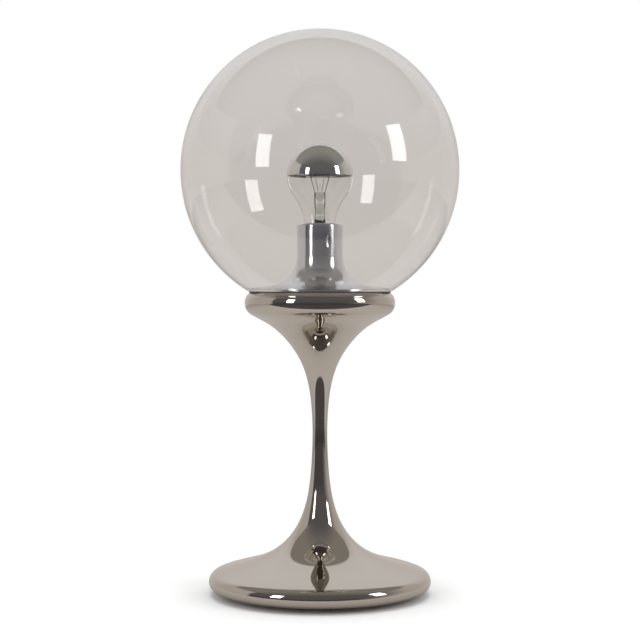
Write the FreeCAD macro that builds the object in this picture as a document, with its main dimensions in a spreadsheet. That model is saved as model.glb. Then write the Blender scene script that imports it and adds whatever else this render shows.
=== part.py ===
"""Glass globe table lamp: a polished trumpet pedestal that carries a clear globe over a
crown-mirrored bulb, with the lampholder, its cover, the weight and the fixings inside.

Millimetres. +Z is up, the lamp stands on z = 0 and turns about the Z axis. The front is -Y,
and the cord leaves the foot at the back, along +Y.
"""
import FreeCAD, Part
import math
import os

import Sketcher

Vector = FreeCAD.Vector

# ---------------------------------------------------------------------------------------------
# Driving sizes: one row of the sheet each, as (name, value, what it is)
# ---------------------------------------------------------------------------------------------
SIZES = [
    # what the lamp stands on
    ("felt_radius", 75.0, "felt disc glued under the base plate"),
    ("felt_thickness", 1.6, "felt disc"),
    ("plate_radius", 76.0, "steel base plate that closes the foot"),
    ("plate_thickness", 2.8, "steel base plate"),
    # pedestal: the foot's rounded edge
    ("foot_radius", 100.0, "widest radius of the foot"),
    ("foot_edge_rise", 7.4, "from the underside up to the widest line"),
    ("foot_upper_round", 9.4, "section radius of the edge above the widest line"),
    ("foot_tangent_angle", 66.0, "where the upper round meets the trumpet, degrees above level"),
    # pedestal: control points of the trumpet curve, from the foot's edge up to the collar
    ("foot_handle", 11.5, "length of the curve's handle at the foot's edge"),
    ("foot_slope_radius", 41.4, "control point on the foot's slope"),
    ("foot_slope_height", 30.9, "control point on the foot's slope"),
    ("lower_flare_radius", 11.1, "control point where the stem opens into the foot"),
    ("lower_flare_height", 70.5, "control point where the stem opens into the foot"),
    ("lower_waist_radius", 6.7, "control point below the waist"),
    ("lower_waist_height", 125.5, "control point below the waist"),
    ("upper_waist_radius", 6.2, "control point above the waist"),
    ("upper_waist_drop", 100.6, "control point above the waist, below the collar's round"),
    ("upper_flare_radius", 11.8, "control point where the stem opens into the cup"),
    ("upper_flare_drop", 54.2, "control point where the stem opens into the cup, likewise"),
    ("cup_slope_radius", 40.4, "control point on the cup's slope"),
    ("cup_slope_drop", 20.0, "control point on the cup's slope, likewise"),
    ("collar_handle", 8.8, "length of the curve's handle at the collar"),
    # pedestal: collar, cup and foot cavity
    ("collar_height", 262.3, "height of the collar's round"),
    ("collar_overhang", 3.75, "widest line of the collar, out from the globe's mouth"),
    ("collar_round", 12.25, "section radius of the collar"),
    ("collar_tangent_angle", 59.6, "where the round meets the trumpet, degrees below level"),
    ("seat_rise", 9.1, "level ledge under the globe's ring, above the collar's round"),
    ("lip_gap", 0.2, "room between the upright lip and the cover's edge round it"),
    ("lip_wall", 2.0, "upright lip"),
    ("cup_floor_drop", 6.3, "floor of the cup inside the collar, below the collar's round"),
    ("cup_corner", 5.0, "round in the cup's inside corner"),
    ("foot_mouth_radius", 73.5, "mouth of the cavity under the foot"),
    ("foot_shoulder_height", 17.5, "top of the cavity's upright wall"),
    ("foot_ceiling_radius", 30.0, "inner end of the cavity's sloping ceiling"),
    ("foot_ceiling_height", 38.5, "inner end of the cavity's sloping ceiling"),
    ("hub_socket_radius", 15.0, "pocket in the ceiling that takes the weight's hub"),
    ("hub_socket_height", 48.0, "face in that pocket that the weight is drawn up against"),
    # clamping tube and its fixings
    # (from here on, "rise" is a height above the seat, the ledge under the globe's ring)
    ("tube_radius", 5.0, "threaded tube that ties the lamp together"),
    ("tube_bore_radius", 3.75, "wire passage in the tube"),
    ("tube_clearance", 0.15, "radial room for the tube in what it passes through"),
    ("tube_foot_height", 15.6, "lower end of the tube"),
    ("tube_top_rise", 2.0, "upper end of the tube"),
    ("nut_width", 15.0, "across the flats of the thin hexagon nuts"),
    ("nut_height", 4.5, "thin hexagon nuts"),
    ("washer_radius", 10.5, "washers under the nuts"),
    ("washer_thickness", 1.5, "washers under the nuts"),
    # counterweight
    ("weight_gap", 1.5, "room between the weight's rim and the cavity's mouth"),
    ("weight_rim_height", 15.0, "top of the weight's upright rim"),
    ("weight_shoulder_radius", 34.0, "top of the weight's cone"),
    ("weight_shoulder_height", 31.0, "top of the weight's cone"),
    ("hub_gap", 0.8, "room between the weight's hub and its pocket's wall"),
    ("recess_radius", 14.5, "recess for the lower nut and the wires"),
    ("recess_depth", 19.0, "recess for the lower nut and the wires"),
    ("cord_channel_width", 11.0, "channel for the cord along the weight's underside"),
    ("cord_channel_depth", 12.0, "channel for the cord along the weight's underside"),
    # base plate screws
    ("screw_count", 3, "countersunk screws that hold the base plate"),
    ("screw_angle", 30.0, "first of the base plate's screws, degrees from +X"),
    ("screw_circle_radius", 48.0, "circle of the base plate's screws"),
    ("screw_radius", 2.0, "shank of the base plate's screws"),
    ("screw_head_radius", 3.9, "countersunk head"),
    ("screw_head_depth", 2.2, "countersunk head"),
    ("screw_depth", 9.0, "shank's reach above the base plate"),
    ("screw_clearance", 0.1, "radial room round the screws"),
    # cord inlet
    ("cord_hole_height", 12.2, "axis of the cord hole"),
    ("cord_hole_radius", 4.9, "hole through the foot's edge"),
    ("cord_face_setback", 2.8, "flat for the bush's flange, in from the widest radius"),
    ("bush_flange_radius", 5.9, "flange of the cord bush"),
    ("bush_flange_thickness", 2.0, "flange of the cord bush"),
    ("bush_wall", 0.8, "sleeve of the cord bush"),
    ("bush_bore_radius", 3.3, "narrow throat that holds the cord, in the flange"),
    ("bush_throat_length", 1.4, "narrow throat, in from the flange's face"),
    ("bush_clearance", 0.1, "radial room for the bush in its hole"),
    ("bush_tail", 1.2, "bush's reach past the wall, inside the foot"),
    # globe and its seat ring
    ("seat_ring_inset", 0.4, "soft ring's edge, in from the globe's outside at its mouth"),
    ("seat_ring_width", 3.1, "soft ring"),
    ("seat_ring_thickness", 1.0, "soft ring"),
    ("globe_radius", 125.0, "outside of the globe, measured level"),
    ("globe_half_height", 126.2, "outside of the globe, measured upright from its middle"),
    ("globe_mouth_radius", 64.0, "outside of the globe at its mouth, where it is cut off"),
    ("globe_wall", 1.6, "blown glass"),
    # lampholder cover
    ("cover_radius", 20.8, "upright part of the cover"),
    ("cover_wall", 0.8, "spun sheet"),
    ("cover_top_rise", 62.0, "top of the cover"),
    ("cover_top_round", 2.2, "round at the cover's top edge"),
    ("cover_mouth_radius", 16.2, "opening for the bulb"),
    ("cover_flare_rise", 33.6, "where the upright part begins to flare"),
    ("cover_flare_drop", 20.0, "length of the curve's upright handle"),
    ("cover_skirt_radius", 36.0, "control point on the cover's skirt"),
    ("cover_skirt_rise", 0.8, "control point on the cover's skirt, above its edge"),
    ("cover_edge_inset", 4.0, "cover's edge, in from the globe's outside at its mouth"),
    ("cover_edge_rise", 3.6, "top of the turned-down edge"),
    ("cover_edge_depth", 3.0, "depth of the turned-down edge"),
    ("dimple_count", 3, "pressed dimples that grip the lampholder"),
    ("dimple_rise", 45.9, "middle of the dimples"),
    ("dimple_half_length", 5.6, "half of a dimple's upright length"),
    ("dimple_half_width", 2.1, "half of a dimple's width"),
    ("dimple_depth", 1.0, "pressed depth"),
    ("dimple_angle", 22.0, "first dimple, degrees from the front towards +X"),
    # lampholder
    ("nipple_radius", 8.0, "threaded entry of the lampholder"),
    ("nipple_flange_radius", 12.0, "flange of the entry, inside the cap"),
    ("nipple_flange_thickness", 2.0, "flange of the entry, inside the cap"),
    ("grub_screw_radius", 1.5, "screw that stops the holder from turning on the tube"),
    ("grub_screw_reach", 3.4, "how far the locking screw stands out of the entry"),
    ("cap_floor_rise", 0.1, "underside of the lampholder's cap"),
    ("cap_floor", 2.5, "floor of the cap"),
    ("cap_top_rise", 20.6, "joint between the cap and the sleeve"),
    ("holder_radius", 18.8, "outside of the lampholder"),
    ("holder_wall", 2.4, "moulded wall of the cap and the sleeve"),
    ("holder_top_rise", 60.4, "top of the sleeve"),
    ("sleeve_lip_radius", 14.9, "opening in the sleeve's top"),
    ("sleeve_lip_thickness", 1.8, "top of the sleeve"),
    ("cap_ledge", 1.6, "ledge in the cap under the contact block"),
    ("cap_bevel_width", 3.6, "slanted corner of the cap, measured level"),
    ("cap_bevel_height", 4.8, "slanted corner of the cap, measured upright"),
    ("core_height", 10.0, "ceramic contact block"),
    ("core_top_rise", 27.6, "top of the contact block"),
    ("core_gap", 0.2, "radial room for the contact block"),
    ("terminal_spacing", 16.0, "distance between the terminal screws"),
    ("terminal_head_radius", 2.6, "terminal screws"),
    ("terminal_head_height", 2.0, "terminal screws"),
    ("terminal_shank_radius", 1.5, "terminal screws"),
    ("terminal_shank_length", 6.0, "terminal screws"),
    ("contact_width", 5.0, "sprung centre contact"),
    ("contact_thickness", 0.6, "sprung contacts"),
    ("contact_reach", 7.0, "centre contact's fixed end, out from the axis"),
    ("contact_foot", 3.0, "flat end of the centre contact, on the block"),
    ("contact_crest", 4.0, "flat crest of the centre contact, under the bulb's tip"),
    ("contact_gap", 0.3, "room between the crest and the bulb's tip"),
    ("contact_bend", 0.25, "shift of the strip's upper face at its bends, for an even strip"),
    ("shell_bore_radius", 13.6, "clear bore of the screw shell"),
    ("shell_wall", 0.5, "screw shell"),
    ("shell_flange_radius", 15.6, "foot of the screw shell"),
    ("shell_wave", 0.9, "depth of the screw shell's rolled thread"),
    ("shell_turns", 7, "turns of the screw shell's thread"),
    # bulb
    ("bulb_radius", 30.0, "round part of the bulb"),
    ("bulb_middle_rise", 105.1, "height of the round part's middle"),
    ("bulb_wall", 0.8, "blown glass"),
    ("bulb_tangent_angle", 38.0, "where the round part meets the neck, degrees below level"),
    ("bulb_neck_handle", 11.0, "length of the curve's handle at the round part"),
    ("bulb_throat_radius", 14.6, "control point on the neck"),
    ("bulb_throat_rise", 68.6, "control point on the neck"),
    ("bulb_neck_radius", 12.6, "neck where it enters the cap"),
    ("bulb_neck_rise", 55.6, "lower end of the glass"),
    ("mirror_gap", 0.05, "room between the glass and the mirror layer"),
    ("mirror_wall", 0.25, "mirror layer inside the crown"),
    ("thread_crest_radius", 13.2, "crests of the bulb cap's thread"),
    ("thread_root_radius", 12.2, "roots of the bulb cap's thread"),
    ("thread_pitch", 3.63, "round thread of the bulb cap"),
    ("thread_turns", 5, "turns of the bulb cap's thread"),
    ("thread_foot_rise", 36.1, "lower end of the bulb cap's thread"),
    ("bulb_cap_wall", 0.3, "bulb cap"),
    ("bulb_collar_step", 1.0, "height of the step above the bulb cap's thread"),
    ("bulb_collar_rise", 57.6, "upper edge of the bulb cap, round the neck"),
    ("insulator_radius", 8.5, "glass button in the end of the bulb cap"),
    ("insulator_rise", 31.8, "underside of the glass button"),
    ("insulator_thickness", 2.0, "glass button in the end of the bulb cap"),
    ("cap_cone_lift", 1.0, "foot of the bulb cap's cone, above the button's underside"),
    ("tip_radius", 4.6, "solder tip of the bulb"),
    ("tip_rise", 30.5, "underside of the solder tip"),
    ("tip_round", 0.8, "edge of the solder tip"),
    # inside the bulb
    ("stem_gap", 0.1, "room between the glass mount and the neck"),
    ("stem_neck_radius", 4.0, "top of the glass mount's cone"),
    ("stem_neck_rise", 76.6, "top of the glass mount's cone"),
    ("stem_wall", 1.0, "glass mount"),
    ("pinch_width", 8.6, "flat pressed top of the mount"),
    ("pinch_depth", 3.2, "flat pressed top of the mount"),
    ("pinch_top_rise", 90.6, "top of the mount"),
    ("lead_radius", 0.3, "lead wires"),
    ("lead_spread_high", 9.4, "leads' distance from the axis at the filament"),
    ("filament_rise", 108.1, "height of the filament"),
    ("filament_radius", 0.45, "coiled filament"),
    ("support_radius", 0.2, "support wires"),
    ("support_root", 1.6, "supports' distance from the axis at the mount"),
    ("support_angle", 30.0, "supports' places on the filament, degrees either side of +Y"),
]
VALUE = {name: value for name, value, _ in SIZES}


def make_sheet(doc):
    """Write the driving sizes into the document's sheet, each under its own alias."""
    sheet = doc.addObject("Spreadsheet::Sheet", "sizes")
    for row, (name, value, meaning) in enumerate(SIZES, start=1):
        sheet.set(f"A{row}", name)
        sheet.set(f"B{row}", str(value))
        sheet.set(f"C{row}", meaning)
        sheet.setAlias(f"B{row}", name)
    doc.recompute()
    return sheet


def cell(name):
    """The expression that reads one size from the sheet."""
    if name not in VALUE:
        raise KeyError(name)
    return f"sizes.{name}"


# ---------------------------------------------------------------------------------------------
# Derived levels and radii, as expressions over the sheet
# ---------------------------------------------------------------------------------------------
S = {name: cell(name) for name in VALUE}
SEAT = f"({S['collar_height']} + {S['seat_rise']})"
CUP_FLOOR = f"({S['collar_height']} - {S['cup_floor_drop']})"


def above_seat(name):
    """The height of a piece or of a control point that goes up and down with the seat."""
    return f"({SEAT} + {S[name + '_rise']})"


PLATE_TOP = f"({S['felt_thickness']} + {S['plate_thickness']})"
EDGE_HEIGHT = f"({PLATE_TOP} + {S['foot_edge_rise']})"
COLLAR_CENTRE = f"({S['globe_mouth_radius']} + {S['collar_overhang']} - {S['collar_round']})"
COVER_EDGE = f"({S['globe_mouth_radius']} - {S['cover_edge_inset']})"
LIP_RADIUS = f"({COVER_EDGE} - {S['cover_wall']} - {S['lip_gap']})"
RING_RADIUS = f"({S['globe_mouth_radius']} - {S['seat_ring_inset']})"
LIP_TOP = f"({above_seat('cover_edge')} - {S['cover_wall']})"
TUBE_HOLE = f"({S['tube_radius']} + {S['tube_clearance']})"
RECESS_TOP = f"({PLATE_TOP} + {S['recess_depth']})"
RING_TOP = f"({SEAT} + {S['seat_ring_thickness']})"
GLOBE_MIDDLE = (f"({RING_TOP} + {S['globe_half_height']}"
                f" * sqrt(1 - ({S['globe_mouth_radius']} / {S['globe_radius']}) ^ 2))")
UPPER_WASHER_TOP = f"({CUP_FLOOR} + {S['washer_thickness']})"
UPPER_NUT_TOP = f"({UPPER_WASHER_TOP} + {S['nut_height']})"
CORD_FACE = f"({S['foot_radius']} - {S['cord_face_setback']})"
BUSH_RADIUS = f"({S['cord_hole_radius']} - {S['bush_clearance']})"
HOLDER_BORE = f"({S['holder_radius']} - {S['holder_wall']})"
CORE_FLOOR = f"({above_seat('core_top')} - {S['core_height']})"
THREAD_TOP = f"({above_seat('thread_foot')} + {S['thread_turns']} * {S['thread_pitch']})"
SHELL_FOOT = f"({above_seat('core_top')} + {S['shell_wall']})"


def sine(angle_name):
    return f"sin({S[angle_name]} * 1 deg)"


def cosine(angle_name):
    return f"cos({S[angle_name]} * 1 deg)"


# ---------------------------------------------------------------------------------------------
# Sketch and feature helpers
# ---------------------------------------------------------------------------------------------
def number(owner, expression):
    """The present value of an expression over the sheet."""
    result = owner.evalExpression(expression)
    return float(getattr(result, "Value", result))


def origin_plane(body, role):
    return next(item for item in body.Origin.OriginFeatures if item.Role == role)


def new_body(doc, label):
    body = doc.addObject("PartDesign::Body", label)
    body.Label = label
    return body


def new_sketch(body, name, role="XZ_Plane", lift=None):
    """A sketch on one of the body's own planes, raised by an expression where one is given."""
    sketch = body.newObject("Sketcher::SketchObject", f"{body.Name}_{name}")
    sketch.AttachmentSupport = [(origin_plane(body, role), "")]
    sketch.MapMode = "FlatFace"
    if lift is not None:
        sketch.setExpression("AttachmentOffset.Base.z", f"({lift}) * 1 mm")
    return sketch


def bind(sketch, kind, targets, expression):
    """Add one dimension to a sketch and tie it to the sheet."""
    value = number(sketch, expression)
    if kind == "Radius":
        constraint = Sketcher.Constraint(kind, targets[0], value)
    else:
        constraint = Sketcher.Constraint(kind, -1, 1, targets[0], targets[1], value)
    index = sketch.addConstraint(constraint)
    sketch.setExpression(f"Constraints[{index}]", f"({expression}) * 1 mm")


def place(sketch, geometry, position, point):
    """Tie a point of the sketch to its two expressions; zero lies on the sketch's own axis."""
    across, up = point
    if across == "0":
        sketch.addConstraint(Sketcher.Constraint("PointOnObject", geometry, position, -2))
    else:
        bind(sketch, "DistanceX", (geometry, position), across)
    if up == "0":
        sketch.addConstraint(Sketcher.Constraint("PointOnObject", geometry, position, -1))
    else:
        bind(sketch, "DistanceY", (geometry, position), up)


def arc_through(start, end, radius, bulge):
    """The arc of a radius between two points that bulges to the left (+1) or the right (-1)."""
    chord = end.sub(start)
    half = chord.Length / 2
    normal = Vector(-chord.y, chord.x, 0).normalize()
    middle = start.add(end).multiply(0.5)
    centre = middle.sub(normal * (bulge * math.sqrt(max(radius ** 2 - half ** 2, 0.0))))
    top = centre.add(normal * (bulge * radius))
    return Part.Arc(start, top, end)


def draw_outline(sketch, points, curves=None):
    """Draw a closed outline. points are (across, up) expressions. curves says which edges, by
    the index of their first point, are ("arc", radius, bulge) or ("spline", inner poles)."""
    curves = curves or {}
    seeds = [Vector(number(sketch, a), number(sketch, b), 0) for a, b in points]
    ends = []
    for index, seed in enumerate(seeds):
        other = seeds[(index + 1) % len(seeds)]
        kind = curves.get(index, ("line",))
        if kind[0] == "line":
            geometry = sketch.addGeometry(Part.LineSegment(seed, other), False)
            ends.append((geometry, 1, 2))
        elif kind[0] == "arc":
            shape = arc_through(seed, other, number(sketch, kind[1]), kind[2])
            geometry = sketch.addGeometry(shape, False)
            first = sketch.getPoint(geometry, 1).distanceToPoint(seed) < 1e-6
            ends.append((geometry, 1, 2) if first else (geometry, 2, 1))
            bind(sketch, "Radius", (geometry,), kind[1])
        else:
            inner = [Vector(number(sketch, a), number(sketch, b), 0) for a, b in kind[1]]
            curve = Part.BSplineCurve()
            curve.buildFromPoles([seed] + inner + [other], False, 3)
            geometry = sketch.addGeometry(curve, False)
            ends.append((geometry, 1, 2))
            sketch.exposeInternalGeometry(geometry)
            for step, pole in enumerate(kind[1], start=2):
                place(sketch, geometry + step, 3, pole)
    for index, point in enumerate(points):
        geometry, start, _ = ends[index]
        last, _, end = ends[index - 1]
        sketch.addConstraint(Sketcher.Constraint("Coincident", last, end, geometry, start))
        place(sketch, geometry, start, point)


def revolve(body, name, points, curves=None, cut=False):
    """Turn an outline in the XZ plane once round the Z axis, as a solid or as a groove."""
    sketch = new_sketch(body, f"{name}_outline")
    draw_outline(sketch, points, curves)
    kind = "PartDesign::Groove" if cut else "PartDesign::Revolution"
    feature = body.newObject(kind, f"{body.Name}_{name}")
    feature.Profile = sketch
    feature.ReferenceAxis = (sketch, ["V_Axis"])
    feature.Angle = 360.0
    return feature


def circles(sketch, items):
    """Draw circles given as (x, y, radius) expressions."""
    for across, up, radius in items:
        centre = Vector(number(sketch, across), number(sketch, up), 0)
        shape = Part.Circle(centre, Vector(0, 0, 1), number(sketch, radius))
        geometry = sketch.addGeometry(shape, False)
        place(sketch, geometry, 3, (across, up))
        bind(sketch, "Radius", (geometry,), radius)


def extrude(body, sketch, name, length, cut=False, reverse=False):
    """Pad or pocket a sketch by an expression."""
    kind = "PartDesign::Pocket" if cut else "PartDesign::Pad"
    feature = body.newObject(kind, f"{body.Name}_{name}")
    feature.Profile = sketch
    feature.Reversed = reverse
    feature.setExpression("Length", f"({length}) * 1 mm")
    return feature


def set_sizes(item, **sizes):
    """Tie properties of a primitive to the sheet."""
    for name, expression in sizes.items():
        unit = "1 deg" if name.startswith("Angle") else "1 mm"
        item.setExpression(name, f"({expression}) * {unit}")
    return item


def move_to(item, across="0", depth="0", up="0"):
    """Tie a primitive's place to the sheet."""
    for axis, expression in zip("xyz", (across, depth, up)):
        if expression != "0":
            item.setExpression(f"Placement.Base.{axis}", f"({expression}) * 1 mm")
    return item


def group(doc, label, items):
    """Like pieces that share one node, each its own solid."""
    compound = doc.addObject("Part::Compound", label)
    compound.Label = label
    compound.Links = items
    return compound


def ring(doc, label, inner, outer, bottom, top):
    """A plain turned ring or sleeve."""
    body = new_body(doc, label)
    revolve(body, "ring", [(inner, bottom), (outer, bottom), (outer, top), (inner, top)])
    return body


# ---------------------------------------------------------------------------------------------
# Foot: felt, base plate with its screws, counterweight
# ---------------------------------------------------------------------------------------------
def screw_shape(doc, name, angle, room="0"):
    """One countersunk screw at an angle of the base plate's circle, or its hole with room."""
    head = doc.addObject("Part::Cone", f"{name}_head")
    set_sizes(head, Radius1=f"{S['screw_head_radius']} + {room}",
              Radius2=f"{S['screw_radius']} + {room}", Height=S["screw_head_depth"])
    shank = doc.addObject("Part::Cylinder", f"{name}_shank")
    set_sizes(shank, Radius=f"{S['screw_radius']} + {room}",
              Height=f"{S['plate_thickness']} + {S['screw_depth']} + {room}")
    for item in (head, shank):
        move_to(item, f"{S['screw_circle_radius']} * cos({angle} deg)",
                f"{S['screw_circle_radius']} * sin({angle} deg)", S["felt_thickness"])
    both = doc.addObject("Part::Fuse", name)
    both.Base, both.Tool = head, shank
    return both


def make_foot(doc):
    felt = doc.addObject("Part::Cylinder", "felt_pad")
    set_sizes(felt, Radius=S["felt_radius"], Height=S["felt_thickness"])

    turns = [VALUE["screw_angle"] + 360 / VALUE["screw_count"] * step
             for step in range(VALUE["screw_count"])]
    screws = [screw_shape(doc, f"screw_{step}", angle) for step, angle in enumerate(turns)]
    holes = [screw_shape(doc, f"screw_hole_{step}", angle, S["screw_clearance"])
             for step, angle in enumerate(turns)]
    screw_group = group(doc, "base_screws", screws)
    hole_group = group(doc, "screw_holes", holes)

    disc = doc.addObject("Part::Cylinder", "plate_disc")
    set_sizes(disc, Radius=S["plate_radius"], Height=S["plate_thickness"])
    move_to(disc, up=S["felt_thickness"])
    plate = doc.addObject("Part::Cut", "base_plate")
    plate.Base, plate.Tool = disc, hole_group

    casting = new_body(doc, "weight_casting")
    rim = f"({S['foot_mouth_radius']} - {S['weight_gap']})"
    hub = f"({S['hub_socket_radius']} - {S['hub_gap']})"
    revolve(casting, "turning", [
        (TUBE_HOLE, RECESS_TOP), (S["recess_radius"], RECESS_TOP),
        (S["recess_radius"], PLATE_TOP), (rim, PLATE_TOP), (rim, S["weight_rim_height"]),
        (S["weight_shoulder_radius"], S["weight_shoulder_height"]),
        (hub, S["weight_shoulder_height"]), (hub, S["hub_socket_height"]),
        (TUBE_HOLE, S["hub_socket_height"])])
    channel = doc.addObject("Part::Box", "cord_channel")
    set_sizes(channel, Length=S["cord_channel_width"], Width=S["foot_mouth_radius"],
              Height=S["cord_channel_depth"])
    move_to(channel, f"-{S['cord_channel_width']} / 2", up=PLATE_TOP)
    drilled = doc.addObject("Part::Cut", "weight_drilled")
    drilled.Base, drilled.Tool = casting, hole_group
    weight = doc.addObject("Part::Cut", "counterweight")
    weight.Base, weight.Tool = drilled, channel
    return [felt, plate, screw_group, weight]


# ---------------------------------------------------------------------------------------------
# Pedestal: one casting, polished and plated, from the foot's edge to the collar
# ---------------------------------------------------------------------------------------------
def make_pedestal(doc):
    body = new_body(doc, "pedestal")
    upper_centre = f"({S['foot_radius']} - {S['foot_upper_round']})"
    foot_start = (f"{upper_centre} + {S['foot_upper_round']} * {cosine('foot_tangent_angle')}",
                  f"{EDGE_HEIGHT} + {S['foot_upper_round']} * {sine('foot_tangent_angle')}")
    foot_pole = (f"{foot_start[0]} - {S['foot_handle']} * {sine('foot_tangent_angle')}",
                 f"{foot_start[1]} + {S['foot_handle']} * {cosine('foot_tangent_angle')}")
    collar_end = (f"{COLLAR_CENTRE} + {S['collar_round']} * {cosine('collar_tangent_angle')}",
                  f"{S['collar_height']} - {S['collar_round']} * {sine('collar_tangent_angle')}")
    collar_pole = (f"{collar_end[0]} - {S['collar_handle']} * {sine('collar_tangent_angle')}",
                   f"{collar_end[1]} - {S['collar_handle']} * {cosine('collar_tangent_angle')}")
    seat_edge = (f"{COLLAR_CENTRE} + sqrt({S['collar_round']} ^ 2"
                 f" - ({SEAT} - {S['collar_height']}) ^ 2)")
    trumpet = [foot_pole] + [
        (S[f"{station}_radius"], S[f"{station}_height"])
        for station in ("foot_slope", "lower_flare", "lower_waist")
    ] + [
        (S[f"{station}_radius"], f"{S['collar_height']} - {S[station + '_drop']}")
        for station in ("upper_waist", "upper_flare", "cup_slope")
    ] + [collar_pole]
    revolve(body, "outside", [
        ("0", PLATE_TOP), (f"{S['foot_radius']} - {S['foot_edge_rise']}", PLATE_TOP),
        (S["foot_radius"], EDGE_HEIGHT), foot_start, collar_end,
        (seat_edge, SEAT), (LIP_RADIUS, SEAT),
        (LIP_RADIUS, LIP_TOP), ("0", LIP_TOP)],
        {1: ("arc", S["foot_edge_rise"], -1), 2: ("arc", S["foot_upper_round"], -1),
         3: ("spline", trumpet), 4: ("arc", S["collar_round"], -1)})

    cup = f"({LIP_RADIUS} - {S['lip_wall']})"
    revolve(body, "cup", [
        ("0", CUP_FLOOR), (f"{cup} - {S['cup_corner']}", CUP_FLOOR),
        (cup, f"{CUP_FLOOR} + {S['cup_corner']}"), (cup, LIP_TOP), ("0", LIP_TOP)],
        {1: ("arc", S["cup_corner"], -1)}, cut=True)
    revolve(body, "cavity", [
        ("0", PLATE_TOP), (S["foot_mouth_radius"], PLATE_TOP),
        (S["foot_mouth_radius"], S["foot_shoulder_height"]),
        (S["foot_ceiling_radius"], S["foot_ceiling_height"]),
        (S["hub_socket_radius"], S["foot_ceiling_height"]),
        (S["hub_socket_radius"], S["hub_socket_height"]), ("0", S["hub_socket_height"])],
        cut=True)
    revolve(body, "tube_bore", [
        ("0", S["hub_socket_height"]), (TUBE_HOLE, S["hub_socket_height"]),
        (TUBE_HOLE, CUP_FLOOR), ("0", CUP_FLOOR)], cut=True)

    hole = new_sketch(body, "cord_hole_circle")
    circles(hole, [("0", S["cord_hole_height"], S["cord_hole_radius"])])
    extrude(body, hole, "cord_hole", S["foot_radius"], cut=True)
    flat = new_sketch(body, "cord_face_outline", lift=f"-{CORD_FACE}")
    half, flat_top = f"({S['foot_radius']} / 2)", f"({EDGE_HEIGHT} + {S['foot_upper_round']})"
    draw_outline(flat, [(f"-{half}", PLATE_TOP), (half, PLATE_TOP), (half, flat_top),
                        (f"-{half}", flat_top)])
    extrude(body, flat, "cord_face", S["foot_edge_rise"], cut=True)
    return [body]


# ---------------------------------------------------------------------------------------------
# Cord bush in the foot's back
# ---------------------------------------------------------------------------------------------
def rod_along(doc, name, axis, radius, length, start, up):
    """A cylinder along +X or +Y."""
    rod = doc.addObject("Part::Cylinder", name)
    turn = FreeCAD.Rotation(Vector(1, 0, 0), -90) if axis == "y" else \
        FreeCAD.Rotation(Vector(0, 1, 0), 90)
    rod.Placement = FreeCAD.Placement(Vector(), turn)
    set_sizes(rod, Radius=radius, Height=length)
    places = {"depth": start} if axis == "y" else {"across": start}
    return move_to(rod, up=up, **places)


def make_cord_bush(doc):
    inner_end = f"({S['foot_mouth_radius']} - {S['bush_tail']})"
    sleeve = rod_along(doc, "bush_sleeve", "y", BUSH_RADIUS, f"{CORD_FACE} - {inner_end}",
                       inner_end, S["cord_hole_height"])
    flange = rod_along(doc, "bush_flange", "y", S["bush_flange_radius"],
                       S["bush_flange_thickness"], CORD_FACE, S["cord_hole_height"])
    through = f"({CORD_FACE} - {inner_end} + {S['bush_flange_thickness']})"
    throat = rod_along(doc, "bush_throat", "y", S["bush_bore_radius"], through, inner_end,
                       S["cord_hole_height"])
    wide = rod_along(doc, "bush_wide_bore", "y", f"{BUSH_RADIUS} - {S['bush_wall']}",
                     f"{through} - {S['bush_throat_length']}", inner_end, S["cord_hole_height"])
    bore = doc.addObject("Part::Fuse", "bush_bore")
    bore.Base, bore.Tool = throat, wide
    outside = doc.addObject("Part::Fuse", "bush_outside")
    outside.Base, outside.Tool = sleeve, flange
    bush = doc.addObject("Part::Cut", "cord_bush")
    bush.Base, bush.Tool = outside, bore
    return [bush]


# ---------------------------------------------------------------------------------------------
# Clamping tube with its washers and nuts
# ---------------------------------------------------------------------------------------------
def hex_nut(doc, label, bottom):
    prism = doc.addObject("Part::Prism", f"{label}_prism")
    prism.Polygon = 6
    set_sizes(prism, Circumradius=f"{S['nut_width']} / 2 / cos(30 deg)", Height=S["nut_height"])
    thread = doc.addObject("Part::Cylinder", f"{label}_thread")
    set_sizes(thread, Radius=TUBE_HOLE, Height=S["nut_height"])
    for item in (prism, thread):
        move_to(item, up=bottom)
    nut = doc.addObject("Part::Cut", label)
    nut.Base, nut.Tool = prism, thread
    return nut


def make_clamp(doc):
    tube = ring(doc, "tie_tube", S["tube_bore_radius"], S["tube_radius"],
                S["tube_foot_height"], above_seat("tube_top"))
    lower_washer_foot = f"({RECESS_TOP} - {S['washer_thickness']})"
    lower_washer = ring(doc, "lower_washer", TUBE_HOLE, S["washer_radius"],
                        lower_washer_foot, RECESS_TOP)
    upper_washer = ring(doc, "upper_washer", TUBE_HOLE, S["washer_radius"],
                        CUP_FLOOR, UPPER_WASHER_TOP)
    lower_nut = hex_nut(doc, "lower_nut", f"{lower_washer_foot} - {S['nut_height']}")
    upper_nut = hex_nut(doc, "upper_nut", UPPER_WASHER_TOP)
    return [tube, lower_washer, lower_nut, upper_washer, upper_nut]


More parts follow.
